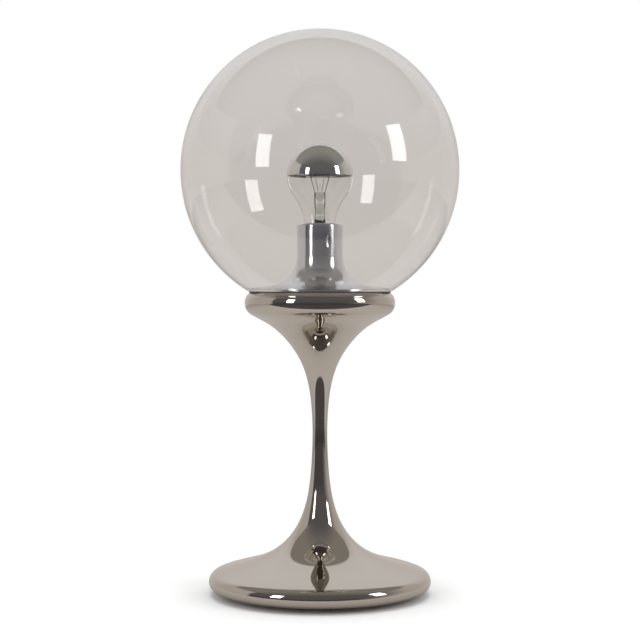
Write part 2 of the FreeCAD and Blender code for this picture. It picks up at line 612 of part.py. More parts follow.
# ---------------------------------------------------------------------------------------------
# Globe and the soft ring it stands on
# ---------------------------------------------------------------------------------------------
def make_globe(doc):
    seat = ring(doc, "seat_ring", f"{RING_RADIUS} - {S['seat_ring_width']}", RING_RADIUS,
                SEAT, RING_TOP)
    globe = new_body(doc, "globe")
    for name, kind, wall in (("outside", "Additive", "0"),
                             ("inside", "Subtractive", S["globe_wall"])):
        shape = globe.newObject(f"PartDesign::{kind}Ellipsoid", f"globe_{name}")
        set_sizes(shape, Radius1=f"{S['globe_half_height']} - {wall}",
                  Radius2=f"{S['globe_radius']} - {wall}",
                  Radius3=f"{S['globe_radius']} - {wall}")
        shape.AttachmentSupport = [(origin_plane(globe, "XY_Plane"), "")]
        shape.MapMode = "FlatFace"
        shape.setExpression("AttachmentOffset.Base.z", f"{GLOBE_MIDDLE} * 1 mm")
    mouth = new_sketch(globe, "mouth_circle", "XY_Plane", RING_TOP)
    circles(mouth, [("0", "0", S["globe_radius"])])
    extrude(globe, mouth, "mouth", S["globe_radius"], cut=True)
    return [seat, globe]


# ---------------------------------------------------------------------------------------------
# Spun cover over the lampholder, gripped by pressed dimples
# ---------------------------------------------------------------------------------------------
def make_cover(doc):
    spinning = new_body(doc, "cover_spinning")
    top, wall = above_seat("cover_top"), S["cover_wall"]
    bend, corner = S["cover_top_round"], f"({S['cover_top_round']} - {S['cover_wall']})"
    bore = f"({S['cover_radius']} - {wall})"
    skirt_height = f"({above_seat('cover_edge')} + {S['cover_skirt_rise']})"
    handle = f"({above_seat('cover_flare')} - {S['cover_flare_drop']})"
    revolve(spinning, "sheet", [
        (S["cover_mouth_radius"], top), (f"{S['cover_radius']} - {bend}", top),
        (S["cover_radius"], f"{top} - {bend}"), (S["cover_radius"], above_seat("cover_flare")),
        (COVER_EDGE, above_seat("cover_edge")),
        (COVER_EDGE, f"{above_seat('cover_edge')} - {S['cover_edge_depth']}"),
        (f"{COVER_EDGE} - {wall}",
         f"{above_seat('cover_edge')} - {S['cover_edge_depth']}"),
        (f"{COVER_EDGE} - {wall}", f"{above_seat('cover_edge')} - {wall}"),
        (bore, above_seat("cover_flare")), (bore, f"{top} - {bend}"),
        (f"{bore} - {corner}", f"{top} - {wall}"), (S["cover_mouth_radius"], f"{top} - {wall}")],
        {1: ("arc", bend, 1), 9: ("arc", corner, -1),
         3: ("spline", [(S["cover_radius"], handle), (S["cover_skirt_radius"], skirt_height)]),
         7: ("spline", [(f"{S['cover_skirt_radius']} - {wall} / 2", f"{skirt_height} - {wall}"),
                        (bore, f"{handle} - {wall} / 2")])})

    # A dimple is an ellipsoid pressed into the wall. Its middle lies outside the wall.
    depth, sink = S["dimple_depth"], f"(2 * {S['dimple_depth']})"
    stretch = "sqrt(0.75)"
    body_radius = f"({S['cover_radius']} - {wall} / 2)"
    inside = doc.addObject("Part::Cylinder", "dimple_backing")
    set_sizes(inside, Radius=body_radius,
              Height=f"2 * {S['dimple_half_length']} / {stretch} + 4 * {wall}")
    move_to(inside, up=f"{above_seat('dimple')} - {S['dimple_half_length']} / {stretch}"
                       f" - 2 * {wall}")
    cover = spinning
    for step in range(VALUE["dimple_count"]):
        angle = VALUE["dimple_angle"] - 90 + 360 / VALUE["dimple_count"] * step
        shapes = []
        for name, room in (("pressing", "0"), ("bump", wall)):
            shape = doc.addObject("Part::Ellipsoid", f"dimple_{name}_{step}")
            set_sizes(shape, Radius1=f"{S['dimple_half_length']} / {stretch} + {room}",
                      Radius2=f"{sink} + {room}",
                      Radius3=f"{S['dimple_half_width']} / {stretch} + {room}")
            shape.Angle1, shape.Angle2, shape.Angle3 = -90, 90, 360
            shape.Placement = FreeCAD.Placement(
                Vector(), FreeCAD.Rotation(Vector(0, 0, 1), angle))
            middle = f"({S['cover_radius']} + {sink} - {depth})"
            move_to(shape, f"{middle} * cos({angle} deg)", f"{middle} * sin({angle} deg)",
                    above_seat("dimple"))
            shapes.append(shape)
        pressing, bump = shapes
        backed = doc.addObject("Part::Common", f"dimple_backed_{step}")
        backed.Base, backed.Tool = inside, bump
        joined = doc.addObject("Part::Fuse", f"dimple_joined_{step}")
        joined.Base, joined.Tool = cover, backed
        last = step == VALUE["dimple_count"] - 1
        cover = doc.addObject("Part::Cut", "socket_cover" if last else f"dimple_done_{step}")
        cover.Base, cover.Tool = joined, pressing
    return [cover]


# ---------------------------------------------------------------------------------------------
# Lampholder: threaded entry, cap, contact block, screw shell, sleeve and contacts
# ---------------------------------------------------------------------------------------------
def wave_points(radius, foot, turns, downward=False):
    """Points of a rolled thread's outline: one at each root."""
    steps = range(turns, -1, -1) if downward else range(turns + 1)
    return [(radius, f"{foot} + {step} * {S['thread_pitch']}") for step in steps]


def wave_radius(depth):
    """Section radius of a thread's round, one pitch wide and of a given depth."""
    return f"((({S['thread_pitch']}) / 2) ^ 2 + ({depth}) ^ 2) / (2 * ({depth}))"


def make_lampholder(doc):
    cap_inside = f"({above_seat('cap_floor')} + {S['cap_floor']})"
    entry_hole = f"({S['nipple_radius']} + {S['tube_clearance']})"
    lock_height = f"(({UPPER_NUT_TOP} + {above_seat('cap_floor')}) / 2)"

    entry = new_body(doc, "entry_turning")
    revolve(entry, "turning", [
        (TUBE_HOLE, UPPER_NUT_TOP), (S["nipple_radius"], UPPER_NUT_TOP),
        (S["nipple_radius"], cap_inside), (S["nipple_flange_radius"], cap_inside),
        (S["nipple_flange_radius"], f"{cap_inside} + {S['nipple_flange_thickness']}"),
        (TUBE_HOLE, f"{cap_inside} + {S['nipple_flange_thickness']}")])
    lock_room = rod_along(doc, "locking_hole", "x",
                          f"{S['grub_screw_radius']} + {S['screw_clearance']}",
                          S["nipple_radius"], S["tube_bore_radius"], lock_height)
    nipple = doc.addObject("Part::Cut", "entry_nipple")
    nipple.Base, nipple.Tool = entry, lock_room
    lock = rod_along(doc, "locking_screw", "x", S["grub_screw_radius"],
                     f"{S['nipple_radius']} + {S['grub_screw_reach']} - {S['tube_radius']}",
                     S["tube_radius"], lock_height)

    cap = new_body(doc, "holder_cap")
    ledge = f"({HOLDER_BORE} - {S['cap_ledge']})"
    revolve(cap, "moulding", [
        (entry_hole, above_seat("cap_floor")),
        (f"{S['holder_radius']} - {S['cap_bevel_width']}", above_seat("cap_floor")),
        (S["holder_radius"], f"{above_seat('cap_floor')} + {S['cap_bevel_height']}"),
        (S["holder_radius"], above_seat("cap_top")), (HOLDER_BORE, above_seat("cap_top")),
        (HOLDER_BORE, CORE_FLOOR), (ledge, CORE_FLOOR), (ledge, cap_inside),
        (entry_hole, cap_inside)])

    sleeve = new_body(doc, "holder_sleeve")
    lip_foot = f"({above_seat('holder_top')} - {S['sleeve_lip_thickness']})"
    revolve(sleeve, "moulding", [
        (HOLDER_BORE, above_seat("cap_top")), (S["holder_radius"], above_seat("cap_top")),
        (S["holder_radius"], above_seat("holder_top")),
        (S["sleeve_lip_radius"], above_seat("holder_top")), (S["sleeve_lip_radius"], lip_foot),
        (HOLDER_BORE, lip_foot)])

    block = doc.addObject("Part::Cylinder", "core_block")
    set_sizes(block, Radius=f"{HOLDER_BORE} - {S['core_gap']}", Height=S["core_height"])
    move_to(block, up=CORE_FLOOR)
    screws, holes = [], []
    for step, side in enumerate((-1, 1)):
        place_across = f"{side} * {S['terminal_spacing']} / 2"
        head = doc.addObject("Part::Cylinder", f"terminal_head_{step}")
        set_sizes(head, Radius=S["terminal_head_radius"], Height=S["terminal_head_height"])
        move_to(head, place_across, up=f"{CORE_FLOOR} - {S['terminal_head_height']}")
        parts = [head]
        for name, room in (("shank", "0"), ("hole", S["screw_clearance"])):
            shank = doc.addObject("Part::Cylinder", f"terminal_{name}_{step}")
            set_sizes(shank, Radius=f"{S['terminal_shank_radius']} + {room}",
                      Height=f"{S['terminal_shank_length']} + {room}")
            parts.append(move_to(shank, place_across, up=CORE_FLOOR))
        screw = doc.addObject("Part::Fuse", f"terminal_screw_{step}")
        screw.Base, screw.Tool = parts[0], parts[1]
        screws.append(screw)
        holes.append(parts[2])
    core = doc.addObject("Part::Cut", "holder_core")
    core.Base, core.Tool = block, group(doc, "terminal_holes", holes)
    terminals = group(doc, "terminal_screws", screws)

    shell = new_body(doc, "screw_shell")
    bore, outer = S["shell_bore_radius"], f"({S['shell_bore_radius']} + {S['shell_wall']})"
    turns = VALUE["shell_turns"]
    inner = wave_points(bore, SHELL_FOOT, turns)
    outside = wave_points(outer, SHELL_FOOT, turns, downward=True)
    points = [(bore, above_seat("core_top"))] + inner + outside + [
        (S["shell_flange_radius"], SHELL_FOOT), (S["shell_flange_radius"], above_seat("core_top"))]
    curves = {1 + step: ("arc", wave_radius(S["shell_wave"]), -1) for step in range(turns)}
    curves.update({turns + 2 + step: ("arc", wave_radius(S["shell_wave"]), 1)
                   for step in range(turns)})
    revolve(shell, "rolling", points, curves)

    contact = new_body(doc, "centre_contact")
    strip = new_sketch(contact, "strip_outline")
    thick, base = S["contact_thickness"], above_seat("core_top")
    crest = f"({above_seat('tip')} - {thick} - {S['contact_gap']})"
    end, ramp = S["contact_reach"], f"({S['contact_reach']} - {S['contact_foot']})"
    brow = f"({S['contact_crest']} / 2)"
    draw_outline(strip, [
        (f"-{end}", base), (f"-{ramp}", base), (f"-{brow}", crest), (brow, crest),
        (brow, f"{crest} + {thick}"), (f"-{brow} - {S['contact_bend']}", f"{crest} + {thick}"),
        (f"-{ramp} - {S['contact_bend']}", f"{base} + {thick}"), (f"-{end}", f"{base} + {thick}")])
    extrude(contact, strip, "strip", S["contact_width"]).Midplane = True
    return [nipple, lock, cap, core, terminals, contact, shell, sleeve]


# ---------------------------------------------------------------------------------------------
# Bulb: glass, mirrored crown, screw cap and the mount inside
# ---------------------------------------------------------------------------------------------
def bulb_outline(inset):
    """The bulb's round part and neck, drawn in by a wall: its points and the neck's poles."""
    radius = f"({S['bulb_radius']} - {inset})"
    join = (f"{radius} * {cosine('bulb_tangent_angle')}",
            f"{above_seat('bulb_middle')} - {radius} * {sine('bulb_tangent_angle')}")
    handle = (f"{join[0]} - {S['bulb_neck_handle']} * {sine('bulb_tangent_angle')}",
              f"{join[1]} - {S['bulb_neck_handle']} * {cosine('bulb_tangent_angle')}")
    throat = (f"{S['bulb_throat_radius']} - {inset}", above_seat("bulb_throat"))
    foot = (f"{S['bulb_neck_radius']} - {inset}", above_seat("bulb_neck"))
    crown = ("0", f"{above_seat('bulb_middle')} + {radius}")
    return radius, crown, join, [handle, throat], foot


def make_bulb(doc):
    glass = new_body(doc, "bulb_glass")
    radius, crown, join, poles, foot = bulb_outline("0")
    in_radius, in_crown, in_join, in_poles, in_foot = bulb_outline(S["bulb_wall"])
    revolve(glass, "blowing", [crown, join, foot, in_foot, in_join, in_crown],
            {0: ("arc", radius, 1), 1: ("spline", poles),
             3: ("spline", in_poles[::-1]), 4: ("arc", in_radius, -1)})

    mirror = new_body(doc, "crown_mirror")
    silver = f"({S['bulb_radius']} - {S['bulb_wall']} - {S['mirror_gap']})"
    middle, back = above_seat("bulb_middle"), f"({silver} - {S['mirror_wall']})"
    revolve(mirror, "layer", [
        ("0", f"{middle} + {silver}"), (silver, middle), (back, middle),
        ("0", f"{middle} + {back}")], {0: ("arc", silver, 1), 2: ("arc", back, -1)})

    cap = new_body(doc, "bulb_cap")
    root, crest, wall = S["thread_root_radius"], S["thread_crest_radius"], S["bulb_cap_wall"]
    turns = VALUE["thread_turns"]
    step_top = f"({THREAD_TOP} + {S['bulb_collar_step']})"
    cone_foot = f"({above_seat('insulator')} + {S['cap_cone_lift']})"
    outer = [(f"{S['insulator_radius']} + {wall} / 2", cone_foot)] + \
        wave_points(root, above_seat("thread_foot"), turns)
    revolve(cap, "drawing", outer + [
        (crest, step_top), (crest, above_seat("bulb_collar")),
        (f"{crest} - {wall}", above_seat("bulb_collar")), (f"{crest} - {wall}", step_top),
        (f"{root} - {wall}", THREAD_TOP), (f"{root} - {wall}", above_seat("thread_foot")),
        (f"{S['insulator_radius']} + {wall} / 2", f"{cone_foot} + {wall}")],
        {1 + step: ("arc", wave_radius(f"{crest} - {root}"), -1) for step in range(turns)})

    button = doc.addObject("Part::Cylinder", "bulb_insulator")
    set_sizes(button, Radius=S["insulator_radius"], Height=S["insulator_thickness"])
    move_to(button, up=above_seat("insulator"))
    tip = new_body(doc, "bulb_tip")
    revolve(tip, "solder", [
        ("0", above_seat("tip")), (f"{S['tip_radius']} - {S['tip_round']}", above_seat("tip")),
        (S["tip_radius"], f"{above_seat('tip')} + {S['tip_round']}"),
        (S["tip_radius"], above_seat("insulator")), ("0", above_seat("insulator"))],
        {1: ("arc", S["tip_round"], -1)})
    return [glass, mirror, cap, button, tip]


def make_mount(doc, sheet):
    """The glass mount, its wires and the filament."""
    flare = f"({S['bulb_neck_radius']} - {S['bulb_wall']} - {S['stem_gap']})"
    height = f"({above_seat('stem_neck')} - {above_seat('bulb_neck')})"
    cones = []
    for name, room in (("outside", "0"), ("inside", S["stem_wall"])):
        cone = doc.addObject("Part::Cone", f"stem_{name}")
        set_sizes(cone, Radius1=f"{flare} - {room}", Radius2=f"{S['stem_neck_radius']} - {room}",
                  Height=height)
        cones.append(move_to(cone, up=above_seat("bulb_neck")))
    hollow = doc.addObject("Part::Cut", "stem_cone")
    hollow.Base, hollow.Tool = cones
    pinch = doc.addObject("Part::Box", "stem_pinch")
    set_sizes(pinch, Length=S["pinch_width"], Width=S["pinch_depth"],
              Height=f"{above_seat('pinch_top')} - {above_seat('stem_neck')} + {S['stem_wall']}")
    move_to(pinch, f"-{S['pinch_width']} / 2", f"-{S['pinch_depth']} / 2",
            f"{above_seat('stem_neck')} - {S['stem_wall']}")
    stem = doc.addObject("Part::Fuse", "glass_stem")
    stem.Base, stem.Tool = hollow, pinch

    def wire(radius, start, end):
        """A round wire between two points, rounded where it meets the next."""
        run = end.sub(start)
        bar = Part.makeCylinder(radius, run.Length, start, run)
        return bar.fuse(Part.makeSphere(radius, start)).removeSplitter()

    def plain_shape(label, shapes):
        item = doc.addObject("Part::Feature", label)
        item.Shape = Part.makeCompound(shapes)
        return item

    top, level, neck = (number(sheet, above_seat(name))
                        for name in ("pinch_top", "filament", "stem_neck"))
    leads = []
    for side in (-1, 1):
        beside = side * (sheet.pinch_width / 2 + sheet.lead_radius + sheet.stem_gap)
        knee = Vector(beside, 0, top)
        foot = wire(sheet.lead_radius, Vector(beside, 0, neck), knee)
        rise = wire(sheet.lead_radius, knee, Vector(side * sheet.lead_spread_high, 0, level))
        leads.append(foot.fuse(rise))
    reach = sheet.lead_spread_high
    clear = sheet.filament_radius + sheet.lead_radius
    filament = Part.makeTorus(reach, sheet.filament_radius, Vector(0, 0, level + clear),
                              Vector(0, 0, 1), 0, 360, 180)
    supports = []
    for side in (-1, 1):
        angle = math.radians(90 + side * sheet.support_angle)
        hook = Vector(reach * math.cos(angle), reach * math.sin(angle),
                      level + clear - sheet.filament_radius - sheet.support_radius)
        root = Vector(-side * sheet.support_root, 0, top + sheet.support_radius)
        supports.append(wire(sheet.support_radius, root, hook))
    return [stem, plain_shape("lead_wires", leads), plain_shape("filament", [filament]),
            plain_shape("support_wires", supports)]


# ---------------------------------------------------------------------------------------------
# Build, check and write
# ---------------------------------------------------------------------------------------------
def check(doc, parts):
    """Stop unless every object is sound and every sub-part is a valid solid."""
    for item in doc.Objects:
        if "Invalid" in item.State or "Error" in item.State:
            raise RuntimeError(f"{item.Name} failed: {item.State}")
    labels = [part.Label for part in parts]
    if len(set(labels)) != len(labels):
        raise RuntimeError("two sub-parts share a name")
    for part in parts:
        shape = part.Shape
        if shape.isNull() or not shape.isValid() or not shape.Solids or shape.Volume <= 0:
            raise RuntimeError(f"{part.Label} is not a valid solid")


def main():
    doc = FreeCAD.newDocument("glass_globe_table_lamp")
    sheet = make_sheet(doc)
    parts = (make_foot(doc) + make_pedestal(doc) + make_cord_bush(doc) + make_clamp(doc)
             + make_globe(doc) + make_cover(doc) + make_lampholder(doc) + make_bulb(doc)
             + make_mount(doc, sheet))
    doc.recompute()
    check(doc, parts)
    os.makedirs("parts", exist_ok=True)
    for part in parts:
        part.Shape.exportStep(f"parts/{part.Label}.step")
        box = part.Shape.BoundBox
        print(f"{part.Label:16} solids {len(part.Shape.Solids)}  volume {part.Shape.Volume:11.1f}"
              f"  z {box.ZMin:7.2f} .. {box.ZMax:7.2f}  r {box.XMax:6.2f}")


main()
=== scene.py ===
import math

import bmesh
import bpy
from mathutils import Matrix, Vector


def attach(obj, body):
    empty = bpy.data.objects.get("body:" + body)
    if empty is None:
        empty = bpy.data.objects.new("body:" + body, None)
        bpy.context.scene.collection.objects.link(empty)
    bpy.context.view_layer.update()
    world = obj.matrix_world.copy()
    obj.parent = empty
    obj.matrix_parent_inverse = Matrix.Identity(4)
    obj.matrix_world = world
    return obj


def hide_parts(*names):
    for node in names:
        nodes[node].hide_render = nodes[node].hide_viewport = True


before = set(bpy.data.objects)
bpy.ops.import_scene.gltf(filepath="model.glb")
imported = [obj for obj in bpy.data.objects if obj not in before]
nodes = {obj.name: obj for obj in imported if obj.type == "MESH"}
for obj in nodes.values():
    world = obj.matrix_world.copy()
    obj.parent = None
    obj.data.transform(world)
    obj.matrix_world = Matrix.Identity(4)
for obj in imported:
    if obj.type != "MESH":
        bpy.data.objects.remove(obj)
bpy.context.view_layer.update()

# ---------------------------------------------------------------------------------------------
# Pedestal. One casting with foot, stem and collar, turned, polished and nickel plated. A clamping
# tube runs up inside it, so nothing shows but the unbroken trumpet curve.
# ---------------------------------------------------------------------------------------------
MM = 0.001
PLATE_TOP = 4.4
FOOT_RADIUS = 100.0
FOOT_EDGE_RISE = 7.4
FOOT_UPPER_ROUND = 9.4
FOOT_TANGENT = 66.0
FOOT_HANDLE = 11.5
TRUMPET_POLES = [(41.4, 30.9), (11.1, 70.5), (6.7, 125.5), (6.2, 161.7), (11.8, 208.1), (40.4, 242.3)]
COLLAR_HANDLE = 8.8
COLLAR_RADIUS = 67.75
COLLAR_HEIGHT = 262.3
COLLAR_ROUND = 12.25
COLLAR_TANGENT = 59.6
SEAT_HEIGHT = 271.4
LIP_RADIUS, LIP_WALL, LIP_TOP = 59.0, 2.0, 274.2
CUP_FLOOR, CUP_CORNER = 256.0, 5.0
TUBE_HOLE = 5.15
HUB_POCKET_RADIUS, HUB_POCKET_TOP = 15.0, 48.0
FOOT_CEILING_RADIUS, FOOT_CEILING = 30.0, 38.5
FOOT_MOUTH, FOOT_WALL_TOP = 73.5, 17.5
CORD_HEIGHT, CORD_HOLE, CORD_DRILL = 12.2, 4.9, (60.0, 120.0)
CORD_FACE, CORD_FLAT_WIDTH, CORD_FLAT_DEPTH = 97.2, 100.0, 20.0


def arc(centre, radius, start, end, steps=24):
    """Points of a section's round, from one angle to another, in degrees above level."""
    turns = [math.radians(start + (end - start) * step / steps) for step in range(steps + 1)]
    return [(centre[0] + radius * math.cos(a), centre[1] + radius * math.sin(a)) for a in turns]


def handle_from(point, length, angle):
    """A control point along the tangent of a round, drawn towards the stem."""
    return (point[0] - length * math.sin(math.radians(angle)),
            point[1] + length * math.cos(math.radians(angle)))


def drawn_curve(poles, resolution=24):
    """Points of the smooth curve that a row of control points draws."""
    curve = bpy.data.curves.new("drawn", "CURVE")
    curve.dimensions = "3D"
    curve.resolution_u = resolution
    spline = curve.splines.new("NURBS")
    spline.points.add(len(poles) - 1)
    for point, (across, up) in zip(spline.points, poles):
        point.co = (across, 0, up, 1)
    spline.order_u = 4
    spline.use_endpoint_u = True
    holder = bpy.data.objects.new("drawn", curve)
    mesh = bpy.data.meshes.new_from_object(holder)
    points = [(v.co.x, v.co.z) for v in mesh.vertices]
    bpy.data.objects.remove(holder)
    bpy.data.curves.remove(curve)
    bpy.data.meshes.remove(mesh)
    return points


def from_mesh(bm, name, material, smooth=True):
    """Put a finished bmesh into the scene as a piece in real metres."""
    bmesh.ops.remove_doubles(bm, verts=bm.verts, dist=1e-7)
    bmesh.ops.recalc_face_normals(bm, faces=bm.faces)
    mesh = bpy.data.meshes.new(name)
    bm.to_mesh(mesh)
    bm.free()
    for face in mesh.polygons:
        face.use_smooth = smooth
    piece = bpy.data.objects.new(name, mesh)
    bpy.context.scene.collection.objects.link(piece)
    mesh.materials.append(material)
    return piece


def lathe(name, outline, material, steps=160, sharp=35.0, close=True):
    """Spin a section, given in millimetres as (radius, height), once round the upright axis."""
    bm = bmesh.new()
    ring = [bm.verts.new((across * MM, 0, up * MM)) for across, up in outline]
    edges = [bm.edges.new(pair) for pair in zip(ring, ring[1:])]
    if close:
        edges.append(bm.edges.new((ring[-1], ring[0])))
    bmesh.ops.spin(bm, geom=ring + edges, cent=(0, 0, 0), axis=(0, 0, 1), steps=steps,
                   angle=2 * math.pi, use_merge=True)
    piece = from_mesh(bm, name, material)
    piece.data.set_sharp_from_angle(angle=math.radians(sharp))
    return piece


def feed(tree, socket, value):
    """Set a shader's socket to a plain value or colour, or link another node's output to it."""
    if isinstance(value, bpy.types.NodeSocket):
        tree.links.new(value, socket)
    elif socket.type == "RGBA":
        socket.default_value = (*value, 1)
    else:
        socket.default_value = value


def object_place(tree):
    """Where a point of the surface lies on its own piece."""
    return tree.nodes.new("ShaderNodeTexCoord").outputs["Object"]


def noise(tree, place, scale, detail):
    """Noise over the surface of a piece."""
    texture = tree.nodes.new("ShaderNodeTexNoise")
    for label, value in (("Vector", place), ("Scale", scale), ("Detail", detail)):
        feed(tree, texture.inputs[label], value)
    return texture.outputs["Fac"]


def remap(tree, value, low, high, first=0.0, last=1.0, smooth=False):
    """Turn a value that runs from low to high into one that runs from first to last."""
    ramp = tree.nodes.new("ShaderNodeMapRange")
    if smooth:
        ramp.interpolation_type = "SMOOTHSTEP"
    for label, setting in (("Value", value), ("From Min", low), ("From Max", high),
                           ("To Min", first), ("To Max", last)):
        feed(tree, ramp.inputs[label], setting)
    return ramp.outputs["Result"]


def arithmetic(tree, kind, *values):
    """Arithmetic on plain values or other nodes' outputs."""
    result = tree.nodes.new("ShaderNodeMath")
    result.operation = kind
    for socket, value in zip(result.inputs, values):
        feed(tree, socket, value)
    return result.outputs["Value"]


def relief(tree, height, distance):
    """The surface's normal with fine relief on it."""
    bump = tree.nodes.new("ShaderNodeBump")
    feed(tree, bump.inputs["Distance"], distance)
    feed(tree, bump.inputs["Height"], height)
    return bump.outputs["Normal"]


def new_group(name, inputs, outputs):
    """A shader node group with named sockets."""
    tree = bpy.data.node_groups.new(name, "ShaderNodeTree")
    for label, kind, value in inputs:
        socket = tree.interface.new_socket(label, in_out="INPUT", socket_type=kind)
        socket.default_value = value
    for label, kind in outputs:
        tree.interface.new_socket(label, in_out="OUTPUT", socket_type=kind)
    return tree, tree.nodes.new("NodeGroupInput").outputs, tree.nodes.new("NodeGroupOutput").inputs


def use_group(tree, group, **settings):
    """Place a node group in a material, with this material's own values."""
    holder = tree.nodes.new("ShaderNodeGroup")
    holder.node_tree = group
    for label, value in settings.items():
        feed(tree, holder.inputs[label], value)
    return holder.outputs


def make_polish_group():
    """Fine polishing marks, a slow swell of the surface, dull patches and specks of dust."""
    tree, given, result = new_group(
        "polish_wear",
        [("Vector", "NodeSocketVector", (0, 0, 0)), ("Roughness", "NodeSocketFloat", 0.05),
         ("Dullness", "NodeSocketFloat", 0.05), ("Swell", "NodeSocketFloat", 0.1),
         ("Marks", "NodeSocketFloat", 0.1), ("Dust", "NodeSocketFloat", 0.2)],
        [("Roughness", "NodeSocketFloat"), ("Height", "NodeSocketFloat"),
         ("Dust", "NodeSocketFloat")])
    place = given["Vector"]
    patches = noise(tree, place, scale=26.0, detail=4.0)
    smear = remap(tree, patches, 0.45, 0.75, 0.0, given["Dullness"])
    specks = noise(tree, place, scale=900.0, detail=1.0)
    swell = arithmetic(tree, "MULTIPLY", noise(tree, place, scale=14.0, detail=1.0), given["Swell"])
    stretch = tree.nodes.new("ShaderNodeMapping")
    feed(tree, stretch.inputs["Vector"], place)
    feed(tree, stretch.inputs["Scale"], (60.0, 60.0, 1800.0))
    marks = noise(tree, stretch.outputs["Vector"], scale=1.0, detail=3.0)

    feed(tree, result["Roughness"], arithmetic(tree, "ADD", given["Roughness"], smear))
    feed(tree, result["Height"], arithmetic(tree, "MULTIPLY_ADD", marks, given["Marks"], swell))
    feed(tree, result["Dust"], remap(tree, specks, 0.68, 0.76, 0.0, given["Dust"]))
    return tree


POLISH = make_polish_group()


def new_material(name, color, metallic=0.0, roughness=0.4, **sockets):
    """A material with its Principled shader, and the finish's plain sockets set on it."""
    material = bpy.data.materials.new(name)
    material.use_nodes = True
    material.diffuse_color = (*color, 1)
    shader = material.node_tree.nodes["Principled BSDF"]
    shader.inputs["Base Color"].default_value = (*color, 1)
    shader.inputs["Metallic"].default_value = metallic
    shader.inputs["Roughness"].default_value = roughness
    for label, value in sockets.items():
        shader.inputs[label.replace("_", " ")].default_value = value
    return material, material.node_tree, shader


def polished_metal(name, color, roughness, dullness, swell, marks, dust, turned=0.0):
    """Bare polished or plated metal with its own amounts of wear. Fine turned marks, running
    round the upright axis, draw its highlights out upwards."""
    material, tree, shader = new_material(name, color, 1.0, roughness, Anisotropic=turned,
                                          Anisotropic_Rotation=0.25)
    if turned:
        grooves = tree.nodes.new("ShaderNodeTangent")
        grooves.direction_type = "RADIAL"
        grooves.axis = "Z"
        feed(tree, shader.inputs["Tangent"], grooves.outputs["Tangent"])
    wear = use_group(tree, POLISH, Vector=object_place(tree), Roughness=roughness,
                     Dullness=dullness, Swell=swell, Marks=marks, Dust=dust)
    feed(tree, shader.inputs["Roughness"], arithmetic(tree, "ADD", wear["Roughness"], wear["Dust"]))
    feed(tree, shader.inputs["Normal"], relief(tree, wear["Height"], distance=0.0004))
    return material


def cord_cutter():
    """What the foot loses at its back for the cord: a round hole, and a flat face round it."""
    bm = bmesh.new()
    near, far = CORD_DRILL
    bmesh.ops.create_cone(
        bm, cap_ends=True, segments=48, radius1=CORD_HOLE * MM, radius2=CORD_HOLE * MM,
        depth=(far - near) * MM,
        matrix=Matrix.Translation((0, (near + far) / 2 * MM, CORD_HEIGHT * MM))
        @ Matrix.Rotation(math.radians(-90), 4, "X"))
    bmesh.ops.create_cube(
        bm, size=1,
        matrix=Matrix.Translation((0, (CORD_FACE + CORD_FLAT_DEPTH / 2) * MM, CORD_HEIGHT * MM))
        @ Matrix.Diagonal((CORD_FLAT_WIDTH * MM, CORD_FLAT_DEPTH * MM, CORD_FLAT_DEPTH * MM, 1)))
    bmesh.ops.recalc_face_normals(bm, faces=bm.faces)
    mesh = bpy.data.meshes.new("cord_cutter")
    bm.to_mesh(mesh)
    bm.free()
    return mesh


def cut_with(piece, tool_mesh):
    """Cut a shape out of a piece, and keep the result as its mesh."""
    tool = bpy.data.objects.new("cutting_tool", tool_mesh)
    bpy.context.scene.collection.objects.link(tool)
    cut = piece.modifiers.new("cut", "BOOLEAN")
    cut.object, cut.operation, cut.solver = tool, "DIFFERENCE", "EXACT"
    bpy.context.view_layer.update()
    result = bpy.data.meshes.new_from_object(
        piece.evaluated_get(bpy.context.evaluated_depsgraph_get()))
    piece.modifiers.clear()
    piece.data = result
    bpy.data.objects.remove(tool)


plating = polished_metal("nickel_plating", (0.60, 0.556, 0.50), roughness=0.035, dullness=0.05,
                         swell=0.35, marks=0.012, dust=0.10)
edge_height = PLATE_TOP + FOOT_EDGE_RISE
seat_angle = math.degrees(math.asin((SEAT_HEIGHT - COLLAR_HEIGHT) / COLLAR_ROUND))
foot_lower = arc((FOOT_RADIUS - FOOT_EDGE_RISE, edge_height), FOOT_EDGE_RISE, -90, 0)
foot_upper = arc((FOOT_RADIUS - FOOT_UPPER_ROUND, edge_height), FOOT_UPPER_ROUND, 0, FOOT_TANGENT)
collar_bead = arc((COLLAR_RADIUS - COLLAR_ROUND, COLLAR_HEIGHT), COLLAR_ROUND,
                  -COLLAR_TANGENT, seat_angle, 32)
trumpet = drawn_curve(
    [foot_upper[-1], handle_from(foot_upper[-1], FOOT_HANDLE, FOOT_TANGENT)] + TRUMPET_POLES
    + [handle_from(collar_bead[0], -COLLAR_HANDLE, -COLLAR_TANGENT), collar_bead[0]])
cup_radius = LIP_RADIUS - LIP_WALL
lip = [(LIP_RADIUS, SEAT_HEIGHT), (LIP_RADIUS, LIP_TOP), (cup_radius, LIP_TOP)]
cup_corner = arc((cup_radius - CUP_CORNER, CUP_FLOOR + CUP_CORNER), CUP_CORNER, 0, -90, 8)
bore = [(TUBE_HOLE, CUP_FLOOR), (TUBE_HOLE, HUB_POCKET_TOP), (HUB_POCKET_RADIUS, HUB_POCKET_TOP)]
foot_inside = [(HUB_POCKET_RADIUS, FOOT_CEILING), (FOOT_CEILING_RADIUS, FOOT_CEILING),
               (FOOT_MOUTH, FOOT_WALL_TOP), (FOOT_MOUTH, PLATE_TOP)]
pedestal = lathe("pedestal_casting", foot_lower[:-1] + foot_upper + trumpet[1:-1] + collar_bead
                 + lip + cup_corner + bore + foot_inside, plating, steps=224)
cut_with(pedestal, cord_cutter())
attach(pedestal, "root")
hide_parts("pedestal")

